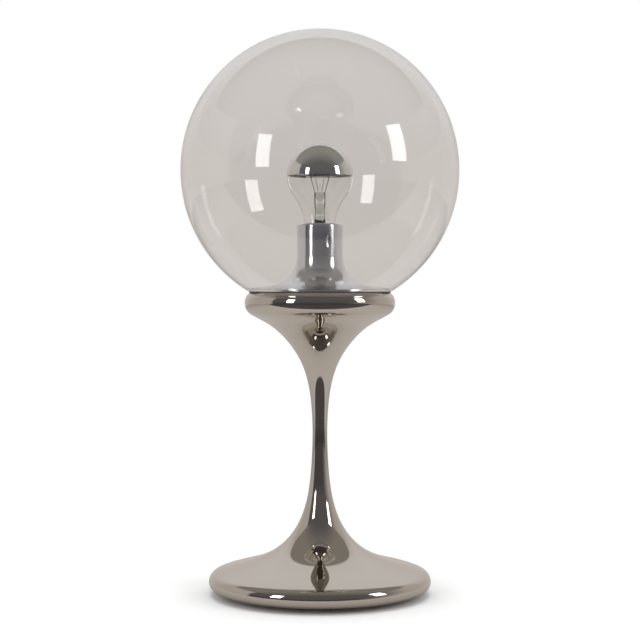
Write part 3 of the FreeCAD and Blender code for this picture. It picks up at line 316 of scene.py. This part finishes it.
# ---------------------------------------------------------------------------------------------
# What the lamp stands on. A felt disc is glued under a zinc-plated steel plate, and the plate is
# held by three countersunk screws to the iron weight that fills the foot.
# ---------------------------------------------------------------------------------------------
FELT_RADIUS, FELT_TOP = 75.0, 1.6
FELT_EDGE_ACROSS, FELT_EDGE_UP = 0.6, 0.4


def blend(tree, under, over, mask):
    """Lay one colour over another where a mask says."""
    paint = tree.nodes.new("ShaderNodeMix")
    paint.data_type = "RGBA"
    for label, value in (("A", under), ("B", over), ("Factor", mask)):
        feed(tree, paint.inputs[label], value)
    return paint.outputs["Result"]


def make_grain_group():
    """Grain of cast, moulded or felted stuff: colour from dark to pale, and its relief."""
    tree, given, result = new_group(
        "material_grain",
        [("Vector", "NodeSocketVector", (0, 0, 0)), ("Dark", "NodeSocketColor", (0, 0, 0, 1)),
         ("Pale", "NodeSocketColor", (1, 1, 1, 1)), ("Scale", "NodeSocketFloat", 400.0),
         ("Smoothest", "NodeSocketFloat", 0.4), ("Roughest", "NodeSocketFloat", 0.6)],
        [("Color", "NodeSocketColor"), ("Roughness", "NodeSocketFloat"),
         ("Height", "NodeSocketFloat")])
    grain = noise(tree, given["Vector"], given["Scale"], detail=5.0)
    feed(tree, result["Color"], blend(tree, given["Dark"], given["Pale"], grain))
    feed(tree, result["Roughness"],
         remap(tree, grain, 0.0, 1.0, given["Smoothest"], given["Roughest"]))
    feed(tree, result["Height"], grain)
    return tree


GRAIN = make_grain_group()


def grained(name, dark, pale, scale, rough, metallic=0.0, depth=0.0002, **sockets):
    """A cast, moulded, fired or felted material with its own grain."""
    material, tree, shader = new_material(name, pale, metallic, rough[1], **sockets)
    grain = use_group(tree, GRAIN, Vector=object_place(tree), Dark=dark, Pale=pale, Scale=scale,
                      Smoothest=rough[0], Roughest=rough[1])
    feed(tree, shader.inputs["Base Color"], grain["Color"])
    feed(tree, shader.inputs["Roughness"], grain["Roughness"])
    feed(tree, shader.inputs["Normal"], relief(tree, grain["Height"], depth))
    return material


def finish_node(name, material):
    """Give a carried-over CAD node its finish."""
    for place in nodes[name].material_slots:
        place.material = material


felt = grained("black_felt", (0.012, 0.011, 0.011), (0.045, 0.042, 0.04), 1500.0, (0.85, 1.0),
               depth=0.0005, Sheen_Weight=0.3, Sheen_Roughness=0.6)
felt_edge = FELT_RADIUS - FELT_EDGE_ACROSS
pad = lathe("felt_disc", [(0, 0), (felt_edge, 0), (FELT_RADIUS, FELT_EDGE_UP),
                          (FELT_RADIUS, FELT_TOP - FELT_EDGE_UP), (felt_edge, FELT_TOP),
                          (0, FELT_TOP)], felt, close=False)
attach(pad, "root")
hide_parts("felt_pad")

zinc = polished_metal("zinc_plate", (0.42, 0.43, 0.44), roughness=0.28, dullness=0.2, swell=0.05,
                      marks=0.1, dust=0.2)
finish_node("base_plate", zinc)
bright_steel = polished_metal("bright_steel", (0.5, 0.5, 0.5), roughness=0.2, dullness=0.15,
                              swell=0.02, marks=0.1, dust=0.1)
for name in ("base_screws", "upper_nut", "lower_nut", "upper_washer", "lower_washer",
             "tie_tube", "locking_screw"):
    finish_node(name, bright_steel)
finish_node("counterweight", grained("cast_iron", (0.03, 0.03, 0.032), (0.09, 0.088, 0.085),
                                     260.0, (0.55, 0.8), metallic=0.6, depth=0.0006))
finish_node("cord_bush", grained("bush_plastic", (0.02, 0.02, 0.021), (0.035, 0.035, 0.036),
                                 500.0, (0.35, 0.5)))

# ---------------------------------------------------------------------------------------------
# Lampholder. A brass entry screwed on the clamping tube, a moulded cap and sleeve, a fired
# contact block with its screws and spring, and the rolled brass shell that takes the bulb.
# ---------------------------------------------------------------------------------------------
brass = polished_metal("raw_brass", (0.62, 0.44, 0.2), roughness=0.22, dullness=0.2, swell=0.03,
                       marks=0.15, dust=0.15)
for name in ("entry_nipple", "terminal_screws", "centre_contact", "screw_shell"):
    finish_node(name, brass)
phenolic = grained("phenolic", (0.012, 0.011, 0.01), (0.03, 0.028, 0.026), 700.0, (0.3, 0.45))
for name in ("holder_cap", "holder_sleeve"):
    finish_node(name, phenolic)
finish_node("holder_core", grained("fired_ceramic", (0.68, 0.65, 0.6), (0.8, 0.78, 0.73), 900.0,
                                   (0.3, 0.5)))

# ---------------------------------------------------------------------------------------------
# Cover over the lampholder. Spun sheet, plated like the pedestal, with a turned-down edge that
# drops over the cup's lip, and three dimples pressed in to grip the lampholder.
# ---------------------------------------------------------------------------------------------
COVER_RADIUS, COVER_TOP, COVER_WALL = 20.8, 333.4, 0.8
COVER_BEND, COVER_MOUTH = 2.2, 16.2
COVER_FLARE, COVER_HANDLE = 305.0, 285.0
COVER_SKIRT, COVER_EDGE = (36.0, 275.8), (60.0, 275.0)
COVER_EDGE_DROP, COVER_EDGE_ROUND, COVER_EDGE_CORNER = 3.0, 0.35, 0.1
BARREL_ROW, BARREL_ROWS = 0.4, 64
DIMPLE_HEIGHT, DIMPLE_HALF_LENGTH, DIMPLE_HALF_WIDTH, DIMPLE_DEPTH = 317.3, 5.6, 2.1, 1.0
DIMPLE_SHOULDER = 0.006
DIMPLE_TURNS = (-68.0, 52.0, 172.0)


def press_dimples(mesh):
    """Push the wall in where the three dimples are pressed, with a soft shoulder round each. The
    press is an ellipsoid of twice their depth, which meets the wall halfway down."""
    rim = math.sqrt(0.75)
    long_reach, wide_reach = DIMPLE_HALF_LENGTH / rim, DIMPLE_HALF_WIDTH / rim
    for vertex in mesh.vertices:
        place = vertex.co
        rise = place.z / MM - DIMPLE_HEIGHT
        radius = math.hypot(place.x, place.y)
        if abs(rise) > long_reach or radius > (COVER_RADIUS + 0.1) * MM:
            continue
        turn = math.degrees(math.atan2(place.y, place.x))
        for dimple in DIMPLE_TURNS:
            away = (turn - dimple + 180) % 360 - 180
            across = COVER_RADIUS * math.sin(math.radians(away))
            spread = (rise / long_reach) ** 2 + (across / wide_reach) ** 2
            if abs(away) < 90 and spread < 1:
                bowl = 2 * DIMPLE_DEPTH * math.sqrt(1 - spread) - DIMPLE_DEPTH
                soft = 0.5 * (bowl + math.sqrt(bowl * bowl + DIMPLE_SHOULDER))
                push = (radius - soft * MM) / radius
                place.x, place.y = place.x * push, place.y * push


spun_plating = polished_metal("spun_plating", (0.76, 0.76, 0.785), roughness=0.15, dullness=0.05,
                              swell=0.3, marks=0.03, dust=0.08, turned=0.75)
bend_centre = (COVER_RADIUS - COVER_BEND, COVER_TOP - COVER_BEND)
outer_bend = arc(bend_centre, COVER_BEND, 90, 0, 10)
inner_bend = arc(bend_centre, COVER_BEND - COVER_WALL, 0, 90, 8)
skirt = drawn_curve([(COVER_RADIUS, COVER_FLARE), (COVER_RADIUS, COVER_HANDLE), COVER_SKIRT,
                     COVER_EDGE], 48)
# The hidden inside has fewer rows than the polished face.
skirt_back = drawn_curve([
    (COVER_EDGE[0] - COVER_WALL, COVER_EDGE[1] - COVER_WALL),
    (COVER_SKIRT[0] - COVER_WALL / 2, COVER_SKIRT[1] - COVER_WALL),
    (COVER_RADIUS - COVER_WALL, COVER_HANDLE - COVER_WALL / 2),
    (COVER_RADIUS - COVER_WALL, COVER_FLARE)], 12)
edge_across, edge_up = COVER_EDGE
turned_edge = [(edge_across - COVER_EDGE_ROUND, edge_up),
               (edge_across - COVER_EDGE_CORNER, edge_up - COVER_EDGE_CORNER),
               (edge_across, edge_up - COVER_EDGE_ROUND), (edge_across, edge_up - COVER_EDGE_DROP),
               (edge_across - COVER_WALL, edge_up - COVER_EDGE_DROP)]
barrel = [COVER_FLARE + row * BARREL_ROW for row in range(1, BARREL_ROWS + 1)]
outer_barrel = [(COVER_RADIUS, up) for up in reversed(barrel)]
inner_barrel = [(COVER_RADIUS - COVER_WALL, up) for up in barrel[::2]]
cover = lathe("cover_spinning", [(COVER_MOUTH, COVER_TOP)] + outer_bend + outer_barrel + skirt[:-1]
              + turned_edge + skirt_back + inner_barrel + inner_bend
              + [(COVER_MOUTH, COVER_TOP - COVER_WALL)], spun_plating, steps=320)
press_dimples(cover.data)
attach(cover, "root")
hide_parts("socket_cover")

# ---------------------------------------------------------------------------------------------
# Bulb's screw cap. Thin drawn metal with a rolled round thread, a dark glass button in its end,
# and the solder tip.
# ---------------------------------------------------------------------------------------------
CAP_CREST, CAP_ROOT, CAP_WALL = 13.2, 12.2, 0.3
CAP_CONE_FOOT, BUTTON_RADIUS = 304.2, 8.5
CAP_THREAD_FOOT, CAP_PITCH, CAP_THREAD_TURNS = 307.5, 3.63, 5
THREAD_ROWS, THREAD_FADE = 80, 1.6
CAP_STEP, CAP_RIM = 1.0, 329.0

thread_length = CAP_THREAD_TURNS * CAP_PITCH
thread_top = CAP_THREAD_FOOT + thread_length


def roll_thread(mesh):
    """Swell the wall to the crests of the round thread, which fades out at both ends."""
    for vertex in mesh.vertices:
        place = vertex.co
        rise = place.z / MM - CAP_THREAD_FOOT
        radius = math.hypot(place.x, place.y)
        if 0 < rise < thread_length and radius < (CAP_ROOT + 0.1) * MM:
            turn = 2 * math.pi * rise / CAP_PITCH - math.atan2(place.y, place.x)
            fade = min(1.0, rise / THREAD_FADE, (thread_length - rise) / THREAD_FADE)
            wave = (CAP_CREST - CAP_ROOT) * (0.5 - 0.5 * math.cos(turn)) * fade
            swell = (radius + wave * MM) / radius
            place.x, place.y = place.x * swell, place.y * swell


cap_metal = polished_metal("bulb_cap_metal", (0.6, 0.58, 0.54), roughness=0.2, dullness=0.2,
                           swell=0.05, marks=0.05, dust=0.1)
thread_rows = [CAP_THREAD_FOOT + thread_length * row / THREAD_ROWS for row in range(THREAD_ROWS + 1)]
cone_radius = BUTTON_RADIUS + CAP_WALL / 2
screw_cap = lathe(
    "bulb_screw_cap", [(cone_radius, CAP_CONE_FOOT)] + [(CAP_ROOT, up) for up in thread_rows]
    + [(CAP_CREST, thread_top + CAP_STEP), (CAP_CREST, CAP_RIM), (CAP_CREST - CAP_WALL, CAP_RIM),
       (CAP_CREST - CAP_WALL, thread_top + CAP_STEP)]
    + [(CAP_ROOT - CAP_WALL, up) for up in reversed(thread_rows)]
    + [(cone_radius, CAP_CONE_FOOT + CAP_WALL)], cap_metal, steps=96)
roll_thread(screw_cap.data)
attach(screw_cap, "bulb")
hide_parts("bulb_cap")
finish_node("bulb_insulator", grained("dark_glass", (0.006, 0.006, 0.01), (0.02, 0.02, 0.03),
                                      300.0, (0.08, 0.2)))
finish_node("bulb_tip", polished_metal("solder", (0.55, 0.55, 0.57), roughness=0.35, dullness=0.2,
                                       swell=0.1, marks=0.1, dust=0.1))

# ---------------------------------------------------------------------------------------------
# Bulb glass with its mirrored crown. Clear blown glass, and inside its upper half a film of
# silver that throws the light back down.
# ---------------------------------------------------------------------------------------------
BULB_RADIUS, BULB_MIDDLE, BULB_WALL = 30.0, 376.5, 0.8
BULB_TANGENT, BULB_NECK_HANDLE = 38.0, 11.0
BULB_THROAT, BULB_FOOT = (14.6, 340.0), (12.6, 327.0)
MIRROR_GAP, MIRROR_WALL = 0.05, 0.25


def clear_glass(name, color, ripple, ripple_scale, roughness=0.0):
    """Blown glass: clear, slightly tinted in its thickness, with a slow ripple in its face."""
    material, tree, shader = new_material(name, color, 0.0, roughness,
                                          Transmission_Weight=1.0, IOR=1.5)
    waves = noise(tree, object_place(tree), ripple_scale, detail=1.0)
    smear = remap(tree, waves, 0.55, 0.8, roughness, roughness + 0.03)
    feed(tree, shader.inputs["Normal"], relief(tree, waves, ripple))
    feed(tree, shader.inputs["Roughness"], smear)
    return material


def bulb_section(inset):
    """Half of the bulb's section, from its crown down to its foot, drawn in by a wall."""
    radius = BULB_RADIUS - inset
    round_part = arc((0, BULB_MIDDLE), radius, 90, -BULB_TANGENT, 60)
    round_part[0] = (0, BULB_MIDDLE + radius)
    join = round_part[-1]
    tilt = math.radians(BULB_TANGENT)
    handle = (join[0] - BULB_NECK_HANDLE * math.sin(tilt),
              join[1] - BULB_NECK_HANDLE * math.cos(tilt))
    neck = drawn_curve([join, handle, (BULB_THROAT[0] - inset, BULB_THROAT[1]),
                        (BULB_FOOT[0] - inset, BULB_FOOT[1])], 40)
    return round_part[:-1] + neck


bulb_glass_finish = clear_glass("bulb_glass", (0.99, 0.99, 0.975), ripple=0.00002, ripple_scale=60.0)
bulb = lathe("bulb_blowing", bulb_section(0) + bulb_section(BULB_WALL)[::-1], bulb_glass_finish,
             steps=128, close=False)
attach(bulb, "bulb")
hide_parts("bulb_glass")

silver = polished_metal("silver_film", (0.88, 0.88, 0.88), roughness=0.03, dullness=0.03,
                        swell=0.1, marks=0.0, dust=0.02)
film_radius = BULB_RADIUS - BULB_WALL - MIRROR_GAP
film_outer = arc((0, BULB_MIDDLE), film_radius, 90, 0, 48)
film_inner = arc((0, BULB_MIDDLE), film_radius - MIRROR_WALL, 0, 90, 48)
film_outer[0] = (0, film_outer[0][1])
film_inner[-1] = (0, film_inner[-1][1])
crown = lathe("silvered_crown", film_outer + film_inner, silver, steps=128, close=False)
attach(crown, "bulb")
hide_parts("crown_mirror")

# ---------------------------------------------------------------------------------------------
# Inside the bulb. A flared glass tube sealed to the neck and pressed flat at its top, where the
# two lead wires come through it, with two hooked supports and a coiled tungsten filament.
# ---------------------------------------------------------------------------------------------
MOUNT_ROWS = ((327.0, 11.7, 11.7), (328.6, 9.0, 9.0), (330.6, 6.8, 6.8), (333.2, 5.3, 5.3),
              (341.0, 4.5, 4.4), (346.0, 4.2, 3.7), (349.0, 4.15, 2.6), (352.0, 4.3, 1.6),
              (361.2, 4.3, 1.6), (362.0, 3.6, 1.1))
MOUNT_WALL, MOUNT_HOLLOW_ROWS = 1.0, 3
LEAD_RADIUS, LEAD_FOOT, LEAD_KNEE, LEAD_TOP = 0.3, (4.7, 348.0), (4.7, 362.0), (9.4, 379.5)
FILAMENT_REACH, FILAMENT_HEIGHT = 9.4, 380.25
COIL_RADIUS, COIL_TURNS, COIL_STEPS, COIL_WIRE = 0.37, 150, 10, 0.075
SUPPORT_RADIUS, SUPPORT_ROOT, SUPPORT_TURN = 0.2, 1.6, 30.0


def loft(name, rings, material):
    """Bridge a row of rings, each (height, half width, half depth), into one closed skin."""
    bm = bmesh.new()
    bands = []
    for height, wide, deep in rings:
        made = bmesh.ops.create_circle(bm, segments=48, radius=1.0, matrix=Matrix.Translation(
            (0, 0, height * MM)) @ Matrix.Diagonal((wide * MM, deep * MM, 1, 1)))
        ring = set(made["verts"])
        bands.append([edge for edge in bm.edges if edge.verts[0] in ring])
    for lower, upper in zip(bands, bands[1:]):
        bmesh.ops.bridge_loops(bm, edges=lower + upper)
    bmesh.ops.contextual_create(bm, geom=bands[-1])
    bmesh.ops.contextual_create(bm, geom=bands[0])
    return from_mesh(bm, name, material)


def draw_wires(name, runs, radius, material, resolution=3):
    """Round wires along rows of points, as one mesh."""
    curve = bpy.data.curves.new(name, "CURVE")
    curve.dimensions = "3D"
    curve.bevel_depth = radius * MM
    curve.bevel_resolution = resolution
    curve.use_fill_caps = True
    for run in runs:
        spline = curve.splines.new("POLY")
        spline.points.add(len(run) - 1)
        for point, place in zip(spline.points, run):
            point.co = (place[0] * MM, place[1] * MM, place[2] * MM, 1)
    holder = bpy.data.objects.new(name, curve)
    mesh = bpy.data.meshes.new_from_object(holder)
    bpy.data.objects.remove(holder)
    bpy.data.curves.remove(curve)
    for face in mesh.polygons:
        face.use_smooth = True
    mesh.materials.clear()
    mesh.materials.append(material)
    piece = bpy.data.objects.new(name, mesh)
    bpy.context.scene.collection.objects.link(piece)
    return piece


mount_inside = [(height, wide - MOUNT_WALL, deep - MOUNT_WALL)
                for height, wide, deep in MOUNT_ROWS[:MOUNT_HOLLOW_ROWS]]
mount_glass = clear_glass("mount_glass", (0.985, 0.985, 0.955), ripple=0.00008, ripple_scale=180.0,
                          roughness=0.01)
mount = loft("flare_and_pinch", mount_inside[::-1] + list(MOUNT_ROWS), mount_glass)
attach(mount, "bulb")
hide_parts("glass_stem")

wire_metal = polished_metal("lead_wire", (0.24, 0.21, 0.19), roughness=0.25, dullness=0.1,
                            swell=0.05, marks=0.1, dust=0.1)
leads = draw_wires("lead_wire_pair", [
    [(side * across, 0, up) for across, up in (LEAD_FOOT, LEAD_KNEE, LEAD_TOP)]
    for side in (-1, 1)], LEAD_RADIUS, wire_metal)
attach(leads, "bulb")
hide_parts("lead_wires")

tungsten = polished_metal("tungsten_wire", (0.3, 0.3, 0.31), roughness=0.35, dullness=0.1,
                          swell=0.05, marks=0.1, dust=0.1)
coil = []
for step in range(COIL_TURNS * COIL_STEPS + 1):
    along = math.pi * step / (COIL_TURNS * COIL_STEPS)
    turn = 2 * math.pi * step / COIL_STEPS
    reach = FILAMENT_REACH + COIL_RADIUS * math.cos(turn)
    coil.append((reach * math.cos(along), reach * math.sin(along),
                 FILAMENT_HEIGHT + COIL_RADIUS * math.sin(turn)))
filament = draw_wires("coiled_filament", [coil], COIL_WIRE, tungsten, 1)
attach(filament, "bulb")
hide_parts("filament")

hook_height = FILAMENT_HEIGHT - COIL_RADIUS - COIL_WIRE - SUPPORT_RADIUS
support_runs = []
for side in (-1, 1):
    turn = math.radians(90 + side * SUPPORT_TURN)
    support_runs.append([(-side * SUPPORT_ROOT, 0, LEAD_KNEE[1] + SUPPORT_RADIUS),
                         (FILAMENT_REACH * math.cos(turn), FILAMENT_REACH * math.sin(turn),
                          hook_height)])
supports = draw_wires("support_wire_pair", support_runs, SUPPORT_RADIUS, wire_metal)
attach(supports, "bulb")
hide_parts("support_wires")

# ---------------------------------------------------------------------------------------------
# Globe. One bubble of clear blown glass, cut off and ground at its mouth, that stands loose on
# a soft ring in the collar.
# ---------------------------------------------------------------------------------------------
GLOBE_RADIUS, GLOBE_HALF_HEIGHT, GLOBE_WALL = 124.95, 126.2, 1.6
GLOBE_MOUTH, GLOBE_MOUTH_HEIGHT = 64.0, 272.4
GLOBE_ROWS = 110
globe_middle = GLOBE_MOUTH_HEIGHT + GLOBE_HALF_HEIGHT * math.sqrt(
    1 - (GLOBE_MOUTH / GLOBE_RADIUS) ** 2)


def globe_section(inset):
    """Half of the globe's section from its top down to its mouth, drawn in by its wall."""
    wide, tall = GLOBE_RADIUS - inset, GLOBE_HALF_HEIGHT - inset
    low = math.asin((GLOBE_MOUTH_HEIGHT - globe_middle) / tall)
    turns = [math.pi / 2 + (low - math.pi / 2) * step / GLOBE_ROWS
             for step in range(GLOBE_ROWS + 1)]
    points = [(wide * math.cos(turn), globe_middle + tall * math.sin(turn)) for turn in turns]
    points[0] = (0, points[0][1])
    return points


globe_finish = clear_glass("globe_glass", (0.985, 0.985, 0.98), ripple=0.00012, ripple_scale=16.0)
globe = lathe("globe_bubble", globe_section(0) + globe_section(GLOBE_WALL)[::-1], globe_finish,
              steps=256, close=False)
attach(globe, "globe")
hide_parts("globe")
finish_node("seat_ring", grained("soft_ring", (0.02, 0.02, 0.02), (0.05, 0.05, 0.05), 600.0,
                                 (0.5, 0.7)))
for piece in (globe, bulb):
    piece.visible_shadow = False

# ---------------------------------------------------------------------------------------------
# Floor. Pale, and white to the eye away from the lamp, where it runs into the background. The
# polished metal sees it as a taupe table with a dark room in front of its edge.
# ---------------------------------------------------------------------------------------------
FLOOR_HALF_WIDTH = 6.0
FLOOR_COLOR, TABLE_COLOR, DARK_ROOM = (0.97, 0.97, 0.97), (0.545, 0.518, 0.495), (0.08, 0.075, 0.08)
TABLE_FRONT, TABLE_EDGE = -0.29, 0.01
WHITE_FROM, WHITE_TO = 0.25, 0.9


def vector_math(tree, kind, vector):
    """A vector's length, or the vector brought to a length of one."""
    result = tree.nodes.new("ShaderNodeVectorMath")
    result.operation = kind
    feed(tree, result.inputs[0], vector)
    return result.outputs["Value" if kind == "LENGTH" else "Vector"]


def axes_of(tree, vector):
    """The X, Y and Z of a vector."""
    split = tree.nodes.new("ShaderNodeSeparateXYZ")
    feed(tree, split.inputs[0], vector)
    return split.outputs


floor_finish, floor_tree, floor_shader = new_material(
    "floor", (0.95, 0.95, 0.95), 0.0, 0.9, Specular_IOR_Level=0.0)
floor_place = object_place(floor_tree)
rays = floor_tree.nodes.new("ShaderNodeLightPath").outputs
on_table = remap(floor_tree, axes_of(floor_tree, floor_place)["Y"], TABLE_FRONT - TABLE_EDGE,
                 TABLE_FRONT + TABLE_EDGE)
mirrored = blend(floor_tree, DARK_ROOM, TABLE_COLOR, on_table)
feed(floor_tree, floor_shader.inputs["Base Color"],
     blend(floor_tree, FLOOR_COLOR, mirrored, rays["Is Glossy Ray"]))
far_off = remap(floor_tree, vector_math(floor_tree, "LENGTH", floor_place), WHITE_FROM, WHITE_TO,
                smooth=True)
white_floor = floor_tree.nodes.new("ShaderNodeEmission")
floor_mix = floor_tree.nodes.new("ShaderNodeMixShader")
feed(floor_tree, floor_mix.inputs["Fac"],
     arithmetic(floor_tree, "MULTIPLY", far_off, rays["Is Camera Ray"]))
feed(floor_tree, floor_mix.inputs[1], floor_shader.outputs["BSDF"])
feed(floor_tree, floor_mix.inputs[2], white_floor.outputs["Emission"])
feed(floor_tree, floor_tree.nodes["Material Output"].inputs["Surface"], floor_mix.outputs["Shader"])
floor_mesh = bmesh.new()
bmesh.ops.create_grid(floor_mesh, x_segments=1, y_segments=1, size=FLOOR_HALF_WIDTH)
floor = from_mesh(floor_mesh, "floor", floor_finish, smooth=False)

# ---------------------------------------------------------------------------------------------
# Studio walls. A glowing dome that only the metal and the glass see, a painted reflection of the
# studio's light and shade: taupe at the sides and behind, paler high up behind, and dark round the
# camera and overhead.
# ---------------------------------------------------------------------------------------------
DOME_RADIUS = 3.0
# The glow of the dome in each direction: the studio's light and shade, painted for reflections only.
SIDE_WALLS, BACK_WALL, BACK_WALL_TOP = (0.556, 0.52, 0.497), (0.636, 0.592, 0.564), (0.76, 0.745, 0.745)
CAMERA_SIDE, CAMERA_SIDE_TOP = (0.083, 0.08, 0.087), (0.126, 0.122, 0.126)
CEILING_NEAR, CEILING_FAR = (0.126, 0.122, 0.126), (0.29, 0.27, 0.25)

walls_finish = bpy.data.materials.new("studio_walls")
walls_finish.use_nodes = True
walls_tree = walls_finish.node_tree
walls_tree.nodes.remove(walls_tree.nodes["Principled BSDF"])


def walls_step(value, low, high, first=0.0, last=1.0):
    """A smooth step of the walls' paint."""
    return remap(walls_tree, value, low, high, first, last, smooth=True)


def turned_step(value, low, high, first=0.0, last=1.0):
    """A smooth step between two angles, in degrees."""
    return walls_step(value, math.radians(low), math.radians(high), first, last)


def raised_step(low, high):
    """A smooth step between two angles above level, in degrees."""
    return walls_step(height, math.sin(math.radians(low)), math.sin(math.radians(high)))


def both(first, second):
    """Where both of two masks of the walls hold."""
    return arithmetic(walls_tree, "MULTIPLY", first, second)


walls_axes = axes_of(walls_tree, vector_math(walls_tree, "NORMALIZE", object_place(walls_tree)))
height = walls_axes["Z"]
forward = arithmetic(walls_tree, "MULTIPLY", walls_axes["Y"], -1.0)
azimuth = arithmetic(walls_tree, "ARCTAN2", walls_axes["X"], forward)
overhead = arithmetic(walls_tree, "ARCTAN2", height, forward)
behind = turned_step(arithmetic(walls_tree, "ABSOLUTE", azimuth), 120, 150)
camera_side = both(turned_step(azimuth, -80, -73), turned_step(azimuth, 30, 112, 1.0, 0.0))
ceiling = both(raised_step(36, 39), turned_step(overhead, 120, 125, 1.0, 0.0))

room = blend(walls_tree, SIDE_WALLS, BACK_WALL, behind)
room = blend(walls_tree, room, BACK_WALL_TOP, both(behind, walls_step(height, 0.15, 0.6)))
room = blend(walls_tree, room, CAMERA_SIDE, camera_side)
room = blend(walls_tree, room, CAMERA_SIDE_TOP, both(camera_side, raised_step(8, 18)))
room = blend(walls_tree, room, CEILING_NEAR, ceiling)
room = blend(walls_tree, room, CEILING_FAR, both(ceiling, turned_step(overhead, 40, 95)))
walls_glow = walls_tree.nodes.new("ShaderNodeEmission")
feed(walls_tree, walls_glow.inputs["Color"], room)
feed(walls_tree, walls_tree.nodes["Material Output"].inputs["Surface"], walls_glow.outputs["Emission"])
dome_mesh = bmesh.new()
bmesh.ops.create_icosphere(dome_mesh, subdivisions=5, radius=DOME_RADIUS)
walls = from_mesh(dome_mesh, "studio_walls", walls_finish)
walls.visible_camera = walls.visible_diffuse = walls.visible_shadow = False

# ---------------------------------------------------------------------------------------------
# Light and camera. A soft box on each side, a large one above that only lights, and a white
# background that lights a little less than it shows.
# ---------------------------------------------------------------------------------------------
AMBIENT = 0.72
GLOBE_CENTRE = Vector((0, 0, 0.381))
CAMERA_PLACE, CAMERA_DIP, LENS_LENGTH, SENSOR_WIDTH = (0.0001, -1.411, 0.274), 1.1, 88.14, 36.0

world = bpy.data.worlds.new("studio")
bpy.context.scene.world = world
world.use_nodes = True
sky = world.node_tree
background = sky.nodes["Background"]
rays = sky.nodes.new("ShaderNodeLightPath").outputs
mirrored_or_seen = arithmetic(sky, "ADD", rays["Is Camera Ray"], rays["Is Glossy Ray"])
shown = arithmetic(sky, "ADD", mirrored_or_seen, rays["Is Transmission Ray"])
feed(sky, background.inputs["Color"], (1, 1, 1))
feed(sky, background.inputs["Strength"], remap(sky, shown, 0.0, 1.0, AMBIENT, 1.0))


def soft_box(name, toward, distance, wide, tall, radiance):
    """A rectangular soft box, set by the radiance of its face."""
    lamp = bpy.data.lights.new(name, "AREA")
    lamp.shape, lamp.size, lamp.size_y = "RECTANGLE", wide, tall
    lamp.energy = radiance * math.pi * wide * tall
    holder = bpy.data.objects.new(name, lamp)
    bpy.context.scene.collection.objects.link(holder)
    holder.location = GLOBE_CENTRE + Vector(toward).normalized() * distance
    holder.rotation_euler = (GLOBE_CENTRE - holder.location).to_track_quat("-Z", "Y").to_euler()
    return holder


soft_box("right_box", (0.867, -0.408, 0.284), distance=1.5, wide=0.34, tall=0.63, radiance=5.5)
soft_box("left_box", (-0.694, -0.692, 0.2), distance=1.5, wide=0.295, tall=0.61, radiance=5.5)
top_box = soft_box("top_box", (0, 0.05, 1), distance=1.4, wide=1.2, tall=1.2, radiance=2.9)
top_box.visible_glossy = top_box.visible_transmission = False

lens = bpy.data.cameras.new("camera")
lens.lens, lens.sensor_width = LENS_LENGTH, SENSOR_WIDTH
camera = bpy.data.objects.new("camera", lens)
bpy.context.scene.collection.objects.link(camera)
camera.location = CAMERA_PLACE
camera.rotation_euler = (math.radians(90 - CAMERA_DIP), 0, 0)
bpy.context.scene.camera = camera
bpy.context.scene.view_settings.view_transform = "Standard"
